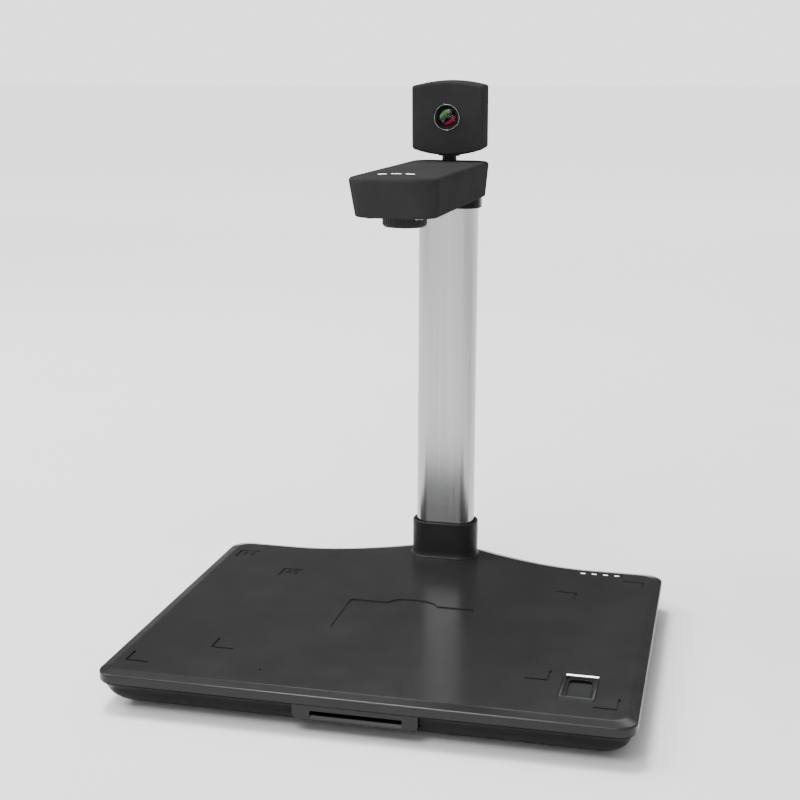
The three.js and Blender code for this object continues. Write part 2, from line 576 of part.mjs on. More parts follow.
// The ring round the lens barrel, with upright ribs as a finger grip.
function ribbedRing() {
  const { x, y, ringRadius, bottom } = LENS;
  const [ribs, depth, top] = [40, 0.45, HEAD.bottom - GAP];
  const shape = new THREE.Shape();
  const ribPoints = [[0, 0], [0.25, 1], [0.6, 1], [0.85, 0]];
  for (let i = 0; i < ribs; i += 1) {
    for (const [turn, rise] of ribPoints) {
      const angle = ((i + turn) / ribs) * 2 * Math.PI;
      const radius = ringRadius - depth * (1 - rise);
      const [px, py] = [x + radius * Math.cos(angle), y + radius * Math.sin(angle)];
      if (i === 0 && turn === 0) shape.moveTo(px, py);
      else shape.lineTo(px, py);
    }
  }
  const edge = ringRadius - depth - 0.1;
  const core = [
    [0, bottom], [edge - 0.9, bottom], [edge - 0.25, bottom + 0.3], [edge, bottom + 0.9],
    [edge, top], [0, top],
  ];
  return join(plate(shape, bottom + 1.5, top - 0.5), turned(core, x, y, 40));
}

// ---------------------------------------------------------------- portrait camera
function addPanStem() {
  const { radius, width, stemRadius, bore } = KNUCKLE;
  const knuckle = alongX(radius, COLUMN.y, CAM.axisZ, -width / 2, width / 2, 28);
  const stem = upright(stemRadius, COLUMN.x, COLUMN.y, 301, CAM.axisZ, 28);
  add('pan_stem', 'collar', cut(join(knuckle, stem), alongX(bore, COLUMN.y, CAM.axisZ, -20, 20, 20)));
  const nut = upright(8, COLUMN.x, COLUMN.y, 303.6, 307.2, 6);
  add('pan_nut', 'steel', cut(nut, upright(stemRadius + GAP, COLUMN.x, COLUMN.y, 300, 310, 32)));
}

// Front view of the camera body: upright sides, arched top and bottom edges.
function cameraShape(inset) {
  const w = CAM.halfWidth - inset;
  const [z0, z1] = [CAM.bottom + CAM.sag + inset, CAM.top - CAM.crown - inset];
  const [low, high] = [3, 2.4];
  const shape = new THREE.Shape();
  shape.moveTo(-w + low, z0);
  shape.quadraticCurveTo(0, z0 - 2 * CAM.sag, w - low, z0);
  shape.quadraticCurveTo(w, z0 + 0.4, w, z0 + low);
  shape.lineTo(w, z1 - high);
  shape.quadraticCurveTo(w, z1 - 0.1, w - high, z1);
  shape.quadraticCurveTo(0, z1 + 2 * CAM.crown, -w + high, z1);
  shape.quadraticCurveTo(-w, z1 - 0.1, -w, z1 - high);
  shape.lineTo(-w, z0 + low);
  shape.quadraticCurveTo(-w, z0 + 0.4, -w + low, z0);
  return shape;
}

function cameraBlock(inset, y0, y1, bevel) {
  const geometry = new THREE.ExtrudeGeometry(cameraShape(inset), {
    depth: y1 - y0 - 2 * bevel,
    bevelEnabled: bevel > 0,
    bevelSize: bevel,
    bevelThickness: bevel,
    bevelOffset: -bevel,
    bevelSegments: 3,
    curveSegments: 7,
  });
  return solid(geometry.rotateX(Math.PI / 2).translate(0, y1 - bevel, 0));
}

function addCameraBody() {
  const { front, rear, seamY, axisZ, lensZ } = CAM;
  const outer = cameraBlock(0, front, rear, 1.4);
  const inner = cameraBlock(2, front + 2, rear - 2, 0);
  const slotHalf = KNUCKLE.width / 2 + KNUCKLE.play;
  const slotRadius = KNUCKLE.radius + KNUCKLE.play;
  const mouth = slotRadius + 0.7;  // room for the stem at both ends of the tilt
  const slot = join(
    alongX(slotRadius, COLUMN.y, axisZ, -slotHalf, slotHalf, 28),
    box(-slotHalf, slotHalf, COLUMN.y - mouth, COLUMN.y + mouth, 310, axisZ),
  );
  const shell = cut(outer, inner);
  const ribs = [-1, 1].map((side) => {
    const [x0, x1] = [8.2, 11.4].map((x) => side * x).sort((a, b) => a - b);
    return box(x0, x1, COLUMN.y - 3.6, rear - 1.5, CAM.bottom + 1.6, axisZ + 4);
  });
  const frontHalf = box(-40, 40, 90, seamY - GAP / 2, 300, 380);
  const rearHalf = box(-40, 40, seamY + GAP / 2, 150, 300, 380);
  const lensHole = alongY(7.4, 0, lensZ, front - 2, front + 6, 32);
  const ringSeat = alongY(9.2 + GAP, 0, lensZ, front - 2, front + 1.2, 32);
  const ribRoom = box(-12, 12, COLUMN.y - 4.2, COLUMN.y, 310, axisZ + 4.6);
  const frontShell = cut(shell.intersect(frontHalf), slot, lensHole, ringSeat, ribRoom);
  const rearShell = join(shell.intersect(rearHalf), ...ribs.map((rib) => rib.intersect(outer)));
  const pinHole = alongX(KNUCKLE.bore, COLUMN.y, axisZ, -20, 20, 20);
  add('camera_front_cover', 'cover', frontShell, tilted);
  add('camera_rear_cover', 'cover', cut(rearShell, slot, pinHole), tilted);
  add('tilt_pin', 'steel', alongX(KNUCKLE.bore - GAP, COLUMN.y, axisZ, -11.7, 11.7, 20), tilted);
}

function addCameraOptics() {
  const { front, lensZ } = CAM;
  const facing = (profile, sides = 32) => {
    // profile: [radius, depth behind the front face] pairs, turned about the lens axis
    const points = profile.map(([r, depth]) => new THREE.Vector2(r, depth));
    return solid(new THREE.LatheGeometry(points, sides).translate(0, front, lensZ));
  };
  const rim = [
    [6.9, 0.9], [6.9, 0.1], [7.4, -0.5], [8.4, -0.7], [9.0, -0.3], [9.2, 0.3], [9.2, 0.9], [6.9, 0.9],
  ];
  add('camera_lens_ring', 'chrome', facing(rim), tilted);
  add('camera_lens_barrel', 'inner', facing([
    [0, 2.2], [6.2, 2.2], [6.2, 0.4], [6.6, 0.4], [6.6, 4.6], [0, 4.6],
  ]), tilted);
  const frontGlass = [[0, 0.3], [2.5, 0.45], [4.4, 0.85], [5.9, 1.5], [5.9, 1.9], [0, 1.9]];
  add('camera_lens_glass', 'glass', facing(frontGlass), tilted);
  const board = join(
    box(-19, 19, front + 6, front + 7.4, 334.5, 360),
    box(-7, 7, front + 4.9, front + 6.2, lensZ - 7, lensZ + 7),
  );
  add('camera_board', 'circuit', board, tilted);
}

addBaseTopCover();
addBaseBottomCover();
addFeet();
addBaseScrews();
addCardReader();
addRearPorts();
addBaseInsides();
addFingerprintReader();
addStatusLights();
addColumn();
addHarness();
addHeadCovers();
addHeadInsides();
addMainLens();
addPanStem();
addCameraBody();
addCameraOptics();

export default scanner;
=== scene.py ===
# Book scanner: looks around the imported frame. Lengths are metres, in the frame's own axes:
# +Z up, +Y to the back, Z = 0 on the table.
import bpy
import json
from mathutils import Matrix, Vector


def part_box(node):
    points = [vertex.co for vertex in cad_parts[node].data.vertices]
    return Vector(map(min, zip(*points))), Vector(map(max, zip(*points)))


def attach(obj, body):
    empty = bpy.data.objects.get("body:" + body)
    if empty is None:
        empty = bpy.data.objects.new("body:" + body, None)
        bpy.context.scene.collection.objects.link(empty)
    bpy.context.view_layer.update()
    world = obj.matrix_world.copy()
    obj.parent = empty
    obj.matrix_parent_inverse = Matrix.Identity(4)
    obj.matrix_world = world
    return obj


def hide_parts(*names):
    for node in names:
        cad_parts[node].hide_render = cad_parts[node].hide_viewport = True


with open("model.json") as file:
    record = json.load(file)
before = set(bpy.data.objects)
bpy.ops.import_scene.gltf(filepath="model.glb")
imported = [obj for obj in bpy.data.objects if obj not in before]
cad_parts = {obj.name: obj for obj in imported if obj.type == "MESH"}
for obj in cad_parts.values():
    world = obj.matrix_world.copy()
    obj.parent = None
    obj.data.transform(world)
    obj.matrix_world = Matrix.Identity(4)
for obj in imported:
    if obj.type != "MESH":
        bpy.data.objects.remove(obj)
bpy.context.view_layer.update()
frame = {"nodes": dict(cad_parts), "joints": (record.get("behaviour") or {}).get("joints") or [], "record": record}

import json
import math

import bmesh
import bpy
from mathutils import Matrix, Vector

MM = 0.001

# ------------------------------------------------------------------ sizes from the frame
TOP_LOW, TOP_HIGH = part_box("base_top_cover")
COLUMN_LOW, COLUMN_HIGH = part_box("column")
COLLAR_LOW, COLLAR_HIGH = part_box("base_collar")
CUFF_LOW, CUFF_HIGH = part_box("head_collar")
HEAD_LOW, HEAD_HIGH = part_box("head_top_cover")
RING_LOW, RING_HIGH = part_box("focus_ring")
BEZEL_LOW, BEZEL_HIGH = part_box("card_slot_bezel")
PORT_LOW, PORT_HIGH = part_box("rear_port_panel")
FINGER_LOW, FINGER_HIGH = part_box("fingerprint_frame")

JOINTS = {joint["name"]: joint for joint in frame["joints"]}
PAN = Vector(JOINTS["camera_pan"]["pos_m"])
TILT = Vector(JOINTS["camera_tilt"]["pos_m"])
LENS = Vector(JOINTS["focus_turn"]["pos_m"])
CAMERA_LEAN = math.radians(2.5)   # how far the portrait camera looks down at rest
BED = Vector((0, LENS.y, TOP_HIGH.z))

BASE_CORNER = 12 * MM             # corner radius of the base in plan
BASE_BACK = 110 * MM              # y of the base's straight back edge
SWELL_START = 108 * MM            # x where the back edge starts to swell towards the column
COLUMN_CORNER = 10 * MM
PLAY = 0.8 * MM                   # gap between the column and the collars round it

HEAD_SIDE_DRAFT, HEAD_FRONT_DRAFT, HEAD_REAR_DRAFT = 2 * MM, 7.4 * MM, 1.1 * MM
KEY_CENTRE = (-1.7 * MM, LENS.y - 15.2 * MM)
KEY_RADIUS, KEY_HALF_WIDTH = 14 * MM, 0.8 * MM
KEY_MIDDLE, KEY_PITCH, KEY_HALF_SWEEP = 103.5, 38, 12.5   # degrees round KEY_CENTRE

CAM_HALF, CAM_FRONT, CAM_REAR = 25 * MM, 110 * MM, 134.5 * MM
CAM_BOTTOM, CAM_TOP = 319.3 * MM, 369.7 * MM
CAM_SAG, CAM_CROWN = 3.4 * MM, 2.7 * MM   # how far the lower and upper edges arch
CAM_LENS = 345.4 * MM                     # height of the lens axis before the lean


# ------------------------------------------------------------------ mesh helpers
def arc(cx, cy, radius, start, end, steps):
    """Points of an arc in degrees, without its last point."""
    angles = [math.radians(start + (end - start) * i / steps) for i in range(steps)]
    return [(cx + radius * math.cos(a), cy + radius * math.sin(a)) for a in angles]


def bezier(points, steps):
    """Points of a Bezier curve of any degree, without its last point."""
    out = []
    for i in range(steps):
        level, t = [Vector(p) for p in points], i / steps
        while len(level) > 1:
            level = [a.lerp(b, t) for a, b in zip(level, level[1:])]
        out.append(tuple(level[0]))
    return out


def circle(cx, cy, radius, steps):
    return arc(cx, cy, radius, 0, 360, steps)


def rounded_rect(x0, x1, y0, y1, radius, steps=8):
    return (
        arc(x1 - radius, y0 + radius, radius, -90, 0, steps) + [(x1, y0 + radius)]
        + arc(x1 - radius, y1 - radius, radius, 0, 90, steps) + [(x1 - radius, y1)]
        + arc(x0 + radius, y1 - radius, radius, 90, 180, steps) + [(x0, y1 - radius)]
        + arc(x0 + radius, y0 + radius, radius, 180, 270, steps) + [(x0 + radius, y0)]
    )


def mesh_object(name, vertices, faces):
    mesh = bpy.data.meshes.new(name)
    mesh.from_pydata([tuple(v) for v in vertices], [], faces)
    bm = bmesh.new()
    bm.from_mesh(mesh)
    bmesh.ops.remove_doubles(bm, verts=bm.verts, dist=1e-7)
    bmesh.ops.recalc_face_normals(bm, faces=bm.faces)
    bm.to_mesh(mesh)
    bm.free()
    obj = bpy.data.objects.new(name, mesh)
    bpy.context.scene.collection.objects.link(obj)
    return obj


def loft(name, rings, closed=False):
    """A skin through rings of 3-D points; closed joins the last ring to the first."""
    count = len(rings[0])
    vertices = [p for ring in rings for p in ring]
    faces = []
    levels = len(rings) if closed else len(rings) - 1
    for level in range(levels):
        a0, b0 = level * count, (level + 1) % len(rings) * count
        for i in range(count):
            j = (i + 1) % count
            faces.append((a0 + i, a0 + j, b0 + j, b0 + i))
    if not closed:
        faces.append(tuple(reversed(range(count))))
        faces.append(tuple(range((len(rings) - 1) * count, len(rings) * count)))
    return mesh_object(name, vertices, faces)


def flat_ring(points, z):
    return [(x, y, z) for x, y in points]


def prism(name, points, z0, z1):
    return loft(name, [flat_ring(points, z0), flat_ring(points, z1)])


def turned(name, profile, centre, steps=96, axis="Z"):
    """A solid of revolution: profile is (radius, height) pairs that start and end on the axis."""
    order = {"Z": (0, 1, 2), "Y": (0, 2, 1), "X": (2, 0, 1)}[axis]
    rings = []
    for radius, height in profile:
        ring = [(u, v, height) for u, v in circle(0, 0, radius, steps)]
        rings.append([Vector(centre) + Vector([p[i] for i in order]) for p in ring])
    return loft(name, rings)


def side_prism(name, outline, x0, x1):
    """A (y, z) outline drawn out from x0 to x1."""
    return loft(name, [[(x, y, z) for y, z in outline] for x in (x0, x1)])


def box(name, low, high):
    points = [(low[0], low[1]), (high[0], low[1]), (high[0], high[1]), (low[0], high[1])]
    return prism(name, points, low[2], high[2])


def join(name, pieces):
    """One object from several meshes, each kept as its own shell."""
    bm = bmesh.new()
    for piece in pieces:
        bm.from_mesh(piece.data)
        bpy.data.objects.remove(piece)
    mesh = bpy.data.meshes.new(name)
    bm.to_mesh(mesh)
    bm.free()
    obj = bpy.data.objects.new(name, mesh)
    bpy.context.scene.collection.objects.link(obj)
    return obj


def carve(obj, *tools):
    """Cuts all the tools out of the piece at once."""
    cutter = join(obj.name + "_tool", tools)
    modifier = obj.modifiers.new("difference", "BOOLEAN")
    modifier.operation = "DIFFERENCE"
    modifier.solver = "EXACT"
    modifier.use_self = True
    modifier.object = cutter
    apply_modifiers(obj)
    bpy.data.objects.remove(cutter)


def apply_modifiers(obj):
    bpy.context.view_layer.update()
    evaluated = obj.evaluated_get(bpy.context.evaluated_depsgraph_get())
    mesh = bpy.data.meshes.new_from_object(evaluated)
    old = obj.data
    obj.modifiers.clear()
    obj.data = mesh
    bpy.data.meshes.remove(old)


def soften(obj, width, angle=30, segments=2):
    """Rounded edges where faces meet at more than angle, and even shading between them."""
    obj.data.shade_smooth()
    obj.data.set_sharp_from_angle(angle=math.radians(angle))
    if width > 0:
        bevel = obj.modifiers.new("edge", "BEVEL")
        bevel.width = width
        bevel.segments = segments
        bevel.limit_method = "ANGLE"
        bevel.angle_limit = math.radians(angle)
        bevel.use_clamp_overlap = True
    normals = obj.modifiers.new("normals", "WEIGHTED_NORMAL")
    normals.keep_sharp = True
    return obj


def place(obj, body, material, slot, *nodes):
    """Hands a finished piece over: its looks, the body it rides on, and the CAD nodes it replaces."""
    obj.data.materials.clear()
    obj.data.materials.append(material)
    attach(obj, body)
    if nodes:
        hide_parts(*nodes)


# ------------------------------------------------------------------ materials
class Shader:
    """A Principled material with a few helpers for procedural detail."""

    def __init__(self, name, **values):
        self.material = bpy.data.materials.new(name)
        self.material.use_nodes = True
        self.nodes = self.material.node_tree.nodes
        self.links = self.material.node_tree.links
        self.main = self.nodes["Principled BSDF"]
        for key, value in values.items():
            self.main.inputs[key.replace("_", " ")].default_value = value
        self.position = self.nodes.new("ShaderNodeTexCoord").outputs["Object"]

    def scaled(self, x, y, z):
        mapping = self.nodes.new("ShaderNodeMapping")
        mapping.inputs["Scale"].default_value = (x, y, z)
        self.links.new(self.position, mapping.inputs["Vector"])
        return mapping.outputs["Vector"]

    def noise(self, scale, detail=3, roughness=0.5, vector=None):
        node = self.nodes.new("ShaderNodeTexNoise")
        node.inputs["Scale"].default_value = scale
        node.inputs["Detail"].default_value = detail
        node.inputs["Roughness"].default_value = roughness
        self.links.new(vector or self.position, node.inputs["Vector"])
        return node.outputs["Fac"]

    def voronoi(self, scale, feature="SMOOTH_F1"):
        node = self.nodes.new("ShaderNodeTexVoronoi")
        node.feature = feature
        node.inputs["Scale"].default_value = scale
        self.links.new(self.position, node.inputs["Vector"])
        return node.outputs["Distance"]

    def spread(self, source, low, high, from_low=0.3, from_high=0.7):
        """The source's range, from_low to from_high, stretched to low to high."""
        node = self.nodes.new("ShaderNodeMapRange")
        node.inputs["From Min"].default_value = from_low
        node.inputs["From Max"].default_value = from_high
        node.inputs["To Min"].default_value = low
        node.inputs["To Max"].default_value = high
        self.links.new(source, node.inputs["Value"])
        return node.outputs["Result"]

    def ramp(self, source, *stops):
        """Colours by the source's value; stops are (value, colour) pairs."""
        node = self.nodes.new("ShaderNodeValToRGB")
        ramp = node.color_ramp
        while len(ramp.elements) < len(stops):
            ramp.elements.new(0.5)
        for element, (value, color) in zip(ramp.elements, stops):
            element.position = value
            element.color = (*color, 1)
        self.links.new(source, node.inputs["Fac"])
        return node.outputs["Color"]

    def math(self, operation, a, b):
        node = self.nodes.new("ShaderNodeMath")
        node.operation = operation
        for socket, value in zip(node.inputs, (a, b)):
            if isinstance(value, (int, float)):
                socket.default_value = value
            else:
                self.links.new(value, socket)
        return node.outputs["Value"]

    def set(self, name, source):
        self.links.new(source, self.main.inputs[name])

    def vector_math(self, operation, a, b=(0, 0, 0)):
        node = self.nodes.new("ShaderNodeVectorMath")
        node.operation = operation
        for socket, value in zip(node.inputs, (a, b)):
            if isinstance(value, (tuple, Vector)):
                socket.default_value = value
            else:
                self.links.new(value, socket)
        return node

    def mix(self, factor, a, b):
        """Colour a where the factor is 0 and b where it is 1."""
        node = self.nodes.new("ShaderNodeMix")
        node.data_type = "RGBA"
        self.links.new(factor, node.inputs["Factor"])
        for socket, color in zip((node.inputs[6], node.inputs[7]), (a, b)):
            if isinstance(color, (tuple, list)):
                socket.default_value = (*color, 1)
            else:
                self.links.new(color, socket)
        return node.outputs[2]

    def bump(self, *layers):
        """Each layer is (height source, strength, depth in metres), the finest last."""
        normal = None
        for source, strength, depth in layers:
            node = self.nodes.new("ShaderNodeBump")
            node.inputs["Strength"].default_value = strength
            node.inputs["Distance"].default_value = depth
            self.links.new(source, node.inputs["Height"])
            if normal is not None:
                self.links.new(normal, node.inputs["Normal"])
            normal = node.outputs["Normal"]
        self.set("Normal", normal)

    def worn_and_highlit_edges(self, color, edge_color, amount):
        """The colour, patchily lighter along the edges: partly rubbed wear, partly a painted highlight in place of
        edge gloss.
        """
        rounded = self.nodes.new("ShaderNodeBevel")
        rounded.samples = 4
        rounded.inputs["Radius"].default_value = 0.5 * MM
        plain = self.nodes.new("ShaderNodeNewGeometry").outputs["Normal"]
        turn = self.vector_math("DOT_PRODUCT", rounded.outputs["Normal"], plain).outputs["Value"]
        edge = self.spread(turn, amount, 0, 0.75, 0.985)
        patchy = self.math("MULTIPLY", edge, self.spread(self.noise(700, 3), 0.2, 1))
        return self.mix(patchy, color, edge_color)


def textured_plastic(name, dark, light, roughness, gloss):
    """Moulded ABS with a fine spark-eroded grain, slight mottling, and edges lightened partly as rubbed wear and
    partly as a painted highlight.
    """
    s = Shader(name)
    s.main.inputs["IOR"].default_value = 1.46
    s.main.inputs["Specular IOR Level"].default_value = gloss
    mottled = s.ramp(s.noise(38, 4, 0.6), (0.35, dark), (0.65, light))
    # lighter edges: partly rubbed wear, partly a painted highlight
    s.set("Base Color", s.worn_and_highlit_edges(mottled, [c * 1.8 for c in light], 0.35))
    s.set("Roughness", s.spread(s.noise(24, 5, 0.65), roughness - 0.04, roughness + 0.05))
    s.bump((s.noise(140, 2), 0.012, 0.04 * MM), (s.voronoi(2200), 0.12, 0.012 * MM))
    return s.material


def smooth_plastic(name, dark, light, roughness, gloss):
    """Polished moulding, with faint handling marks, and edges lightened partly as rubbed wear and partly as a
    painted highlight.
    """
    s = Shader(name)
    s.main.inputs["IOR"].default_value = 1.48
    s.main.inputs["Specular IOR Level"].default_value = gloss
    tone = s.ramp(s.noise(60, 4), (0.3, dark), (0.7, light))
    # lighter edges: partly rubbed wear, partly a painted highlight
    s.set("Base Color", s.worn_and_highlit_edges(tone, [c * 3 for c in light], 0.4))
    s.set("Roughness", s.spread(s.noise(45, 5, 0.7), roughness - 0.06, roughness + 0.07))
    s.bump((s.noise(1500, 3), 0.12, 0.02 * MM))
    return s.material


def anodised(name):
    """Satin anodised extrusion, with fine draw lines along its length."""
    s = Shader(name, Metallic=1.0)
    s.main.inputs["Anisotropic"].default_value = 0.35
    lines = s.noise(1, 3, 0.6, s.scaled(2600, 2600, 9))
    broad = s.noise(1, 2, 0.5, s.scaled(420, 420, 2.5))
    s.set("Base Color", s.ramp(broad, (0.3, (0.38, 0.382, 0.388)), (0.7, (0.43, 0.432, 0.438))))
    s.set("Roughness", s.spread(lines, 0.2, 0.27))
    s.bump((broad, 0.03, 0.03 * MM), (lines, 0.06, 0.01 * MM))
    return s.material


def plated_steel(name):
    """Zinc-plated steel with a slightly uneven finish."""
    s = Shader(name, Metallic=1.0)
    s.set("Base Color", s.ramp(s.noise(300, 4), (0.3, (0.425, 0.4335, 0.4505)), (0.7, (0.5, 0.51, 0.53))))
    s.set("Roughness", s.spread(s.noise(500, 3), 0.24, 0.4))
    s.bump((s.noise(2500, 2), 0.15, 0.02 * MM))
    return s.material


def chrome(name):
    """Dark chrome plating with faint wipe marks."""
    s = Shader(name, Metallic=1.0)
    s.set("Base Color", s.ramp(s.noise(400, 3), (0.3, (0.15, 0.152, 0.157)), (0.7, (0.19, 0.192, 0.197))))
    s.set("Roughness", s.spread(s.noise(700, 3), 0.08, 0.15))
    s.bump((s.noise(1200, 2), 0.04, 0.01 * MM))
    return s.material


def rubber(name):
    """Matt black rubber with a coarse surface."""
    s = Shader(name)
    s.main.inputs["Specular IOR Level"].default_value = 0.3
    s.set("Base Color", s.ramp(s.noise(200, 4), (0.3, (0.012, 0.012, 0.012)), (0.7, (0.03, 0.03, 0.03))))
    s.set("Roughness", s.spread(s.noise(300, 3), 0.75, 0.92))
    s.bump((s.noise(1400, 4), 0.5, 0.05 * MM))
    return s.material


def light_pipe(name, strength):
    """Milky polycarbonate lit from behind, slightly cloudy."""
    s = Shader(name)
    s.main.inputs["Base Color"].default_value = (0.9, 0.92, 0.95, 1)
    s.main.inputs["Emission Strength"].default_value = strength
    cloud = s.noise(500, 2)
    s.set("Emission Color", s.ramp(cloud, (0.3, (0.86, 0.86, 0.86)), (0.7, (1, 1, 1))))
    s.set("Roughness", s.spread(cloud, 0.28, 0.4))
    s.bump((s.noise(1500, 2), 0.1, 0.02 * MM))
    return s.material


def circuit_board(name):
    """Green solder mask with raised tracks under it."""
    s = Shader(name)
    tracks = s.voronoi(260, "DISTANCE_TO_EDGE")
    s.set("Base Color", s.ramp(tracks, (0.02, (0.03, 0.17, 0.08)), (0.06, (0.012, 0.075, 0.035))))
    s.set("Roughness", s.spread(s.noise(200, 3), 0.3, 0.45))
    s.bump((tracks, 0.3, 0.04 * MM))
    return s.material


def clear_glass(name):
    """Front element of a lens: clear, with a faint tint and fine dust."""
    s = Shader(name)
    s.main.inputs["Base Color"].default_value = (0.93, 0.97, 0.96, 1)
    s.main.inputs["Transmission Weight"].default_value = 1.0
    s.main.inputs["IOR"].default_value = 1.14
    s.set("Roughness", s.spread(s.noise(900, 4), 0.0, 0.02, 0.45, 0.8))
    s.bump((s.noise(300, 2), 0.01, 0.01 * MM))
    return s.material


def painted_reflection_lens(name, centre, upper, lower):
    """A dark lens element with painted reflections: one colour at its upper left, another at its lower right,
    black between.
    """
    s = Shader(name)
    s.main.inputs["Specular IOR Level"].default_value = 0.1
    s.main.inputs["Coat Weight"].default_value = 0.15
    s.main.inputs["Coat Roughness"].default_value = 0.02
    shifted = s.vector_math("SUBTRACT", s.position, centre).outputs["Vector"]
    split = s.nodes.new("ShaderNodeSeparateXYZ")
    s.links.new(shifted, split.inputs["Vector"])
    slant = s.math("SUBTRACT", s.math("MULTIPLY", split.outputs["X"], 0.75), split.outputs["Z"])
    slant = s.math("ADD", slant, s.math("MULTIPLY", s.noise(260, 2), 1 * MM))
    black = (0.002, 0.002, 0.004)
    # tint holds the painted reflections, laid along a slant across the element
    tint = s.ramp(
        s.spread(slant, 0, 1, -6.6 * MM, 7.4 * MM),
        (0.0, [c * 0.2 for c in upper]), (0.16, upper), (0.36, [c * 0.3 for c in upper]), (0.47, black),
        (0.62, black), (0.78, lower), (0.9, [c * 0.6 for c in lower]), (1.0, black),
    )
    away = s.vector_math("LENGTH", shifted).outputs["Value"]
    outside_pupil = s.spread(away, 0, 1, 1.6 * MM, 3.4 * MM)
    s.set("Base Color", s.mix(outside_pupil, black, tint))
    s.set("Roughness", s.spread(s.noise(500, 2), 0.08, 0.14))
    s.bump((s.noise(400, 2), 0.02, 0.01 * MM))
    return s.material


BLACK_LOW, BLACK_HIGH = (0.0088, 0.0089, 0.0094), (0.0108, 0.0109, 0.0114)
MATT_LOW, MATT_HIGH = (0.025, 0.0252, 0.0258), (0.0295, 0.0297, 0.0303)
BED_LOW, BED_HIGH = (0.0155, 0.0156, 0.0161), (0.0185, 0.0186, 0.0191)
BED_COVER = textured_plastic("bed_cover", BED_LOW, BED_HIGH, 0.2, 0.24)
SHELL = textured_plastic("shell_cover", BLACK_LOW, BLACK_HIGH, 0.36, 0.07)
COVER = textured_plastic("head_cover", MATT_LOW, MATT_HIGH, 0.5, 0.0006)
TRIM = smooth_plastic("black_trim", (0.0035, 0.0035, 0.0038), (0.005, 0.005, 0.0053), 0.3, 0.12)
GLOSS_TRIM = smooth_plastic("gloss_trim", (0.007, 0.007, 0.0075), (0.010, 0.010, 0.0105), 0.2, 0.4)
INNER = smooth_plastic("inner_plastic", (0.003, 0.003, 0.003), (0.006, 0.006, 0.0065), 0.55, 0.1)
LIP = smooth_plastic("slot_block", BLACK_LOW, BLACK_HIGH, 0.36, 0.3)
PANE = smooth_plastic("sensor_pane", (0.010, 0.011, 0.012), (0.014, 0.015, 0.016), 0.3, 0.25)
ALUMINIUM = anodised("anodised_aluminium")
STEEL = plated_steel("plated_steel")
CHROME = chrome("chrome")
RUBBER = rubber("foot_rubber")
LIGHT = light_pipe("lit_key", 3.2)
LIGHT_SMALL = light_pipe("lit_status", 2.2)
LAMP = smooth_plastic("smoked_diffuser", (0.03, 0.03, 0.031), (0.04, 0.04, 0.041), 0.4, 0.2)
COLLAR = smooth_plastic("satin_collar", (0.016, 0.016, 0.0165), (0.0195, 0.0195, 0.02), 0.4, 0.12)
BOARD = circuit_board("circuit_board")
GLASS = clear_glass("front_glass")


# ------------------------------------------------------------------ base
def base_outline(inset):
    """Plan outline of the base drawn in by inset: it swells at the back round the column."""
    half, front, back = TOP_HIGH.x - inset, TOP_LOW.y + inset, BASE_BACK - inset
    swell = TOP_HIGH.y - inset
    radius = max(BASE_CORNER - 0.5 * inset, 4 * MM)
    shoulder = (34 * MM - 0.48 * inset, 132.5 * MM - 0.88 * inset)
    c1, c2 = (84 * MM, back + 0.5 * MM), (58 * MM - 0.3 * inset, back + 10 * MM)
    right = bezier([(SWELL_START, back), c1, c2, shoulder], 28)
    right += bezier([shoulder, (13 * MM, swell), (0, swell)], 14)
    left = [(-x, y) for x, y in reversed(right[1:])]
    return (
        arc(half - radius, front + radius, radius, -90, 0, 14) + [(half, front + radius)]
        + arc(half - radius, back - radius, radius, 0, 90, 14) + [(half - radius, back)]
        + right + [(0, swell)] + left + [(-SWELL_START, back)]
        + arc(-half + radius, back - radius, radius, 90, 180, 14) + [(-half, back - radius)]
        + arc(-half + radius, front + radius, radius, 180, 270, 14) + [(-half + radius, front)]
    )


def base_loft(name, levels):
    """The base's outline at each (height, inset) level, both in mm."""
    return loft(name, [flat_ring(base_outline(inset * MM), z * MM) for z, inset in levels])


def column_points(grow, steps=14):
    """Plan outline of the column, drawn out by grow."""
    return rounded_rect(
        COLUMN_LOW.x - grow, COLUMN_HIGH.x + grow, COLUMN_LOW.y - grow, COLUMN_HIGH.y + grow,
        COLUMN_CORNER + grow, steps,
    )


def stroke(start, end, width, depth):
    """Cutter for a straight groove with round ends in the bed, from start to end in plan."""
    (x0, y0), (x1, y1) = start, end
    along = math.degrees(math.atan2(y1 - y0, x1 - x0))
    points = arc(x1, y1, width / 2, along - 90, along + 90, 6)
    points += arc(x0, y0, width / 2, along + 90, along + 270, 6)
    return prism("stroke", points, BED.z - depth, BED.z + 1 * MM)


# half width, half depth and digit of an A4 and an A5 sheet lying across the bed
SHEETS = ((148.5 * MM, 105 * MM, "4"), (105 * MM, 74 * MM, "5"))


def sheet_marks():
    """Corner brackets for A4 and A5 sheets, with the size beside each back left one."""
    # the bars of a bracket differ a little, so that the cutters' faces never coincide
    wide, deep, narrow, shallow = 0.75 * MM, 0.9 * MM, 0.74 * MM, 0.88 * MM
    arm, top = 14 * MM, BED.z + 1 * MM
    tools = []
    for half_x, half_y, digit in SHEETS:
        for sx in (-1, 1):
            for sy in (-1, 1):
                x, y = BED.x + sx * half_x, BED.y + sy * half_y
                x_low, x_high = sorted((x, x - sx * arm))
                y_low, y_high = sorted((y, y - sy * arm))
                tools.append(box("mark", (x - wide, y_low, BED.z - deep), (x + wide, y_high, top)))
                tools.append(box("mark", (x_low, y - narrow, BED.z - shallow), (x_high, y + narrow, top)))
        tools += size_label(digit, BED.x - half_x + 3.4 * MM, BED.y + half_y - 9.4 * MM)
    return tools


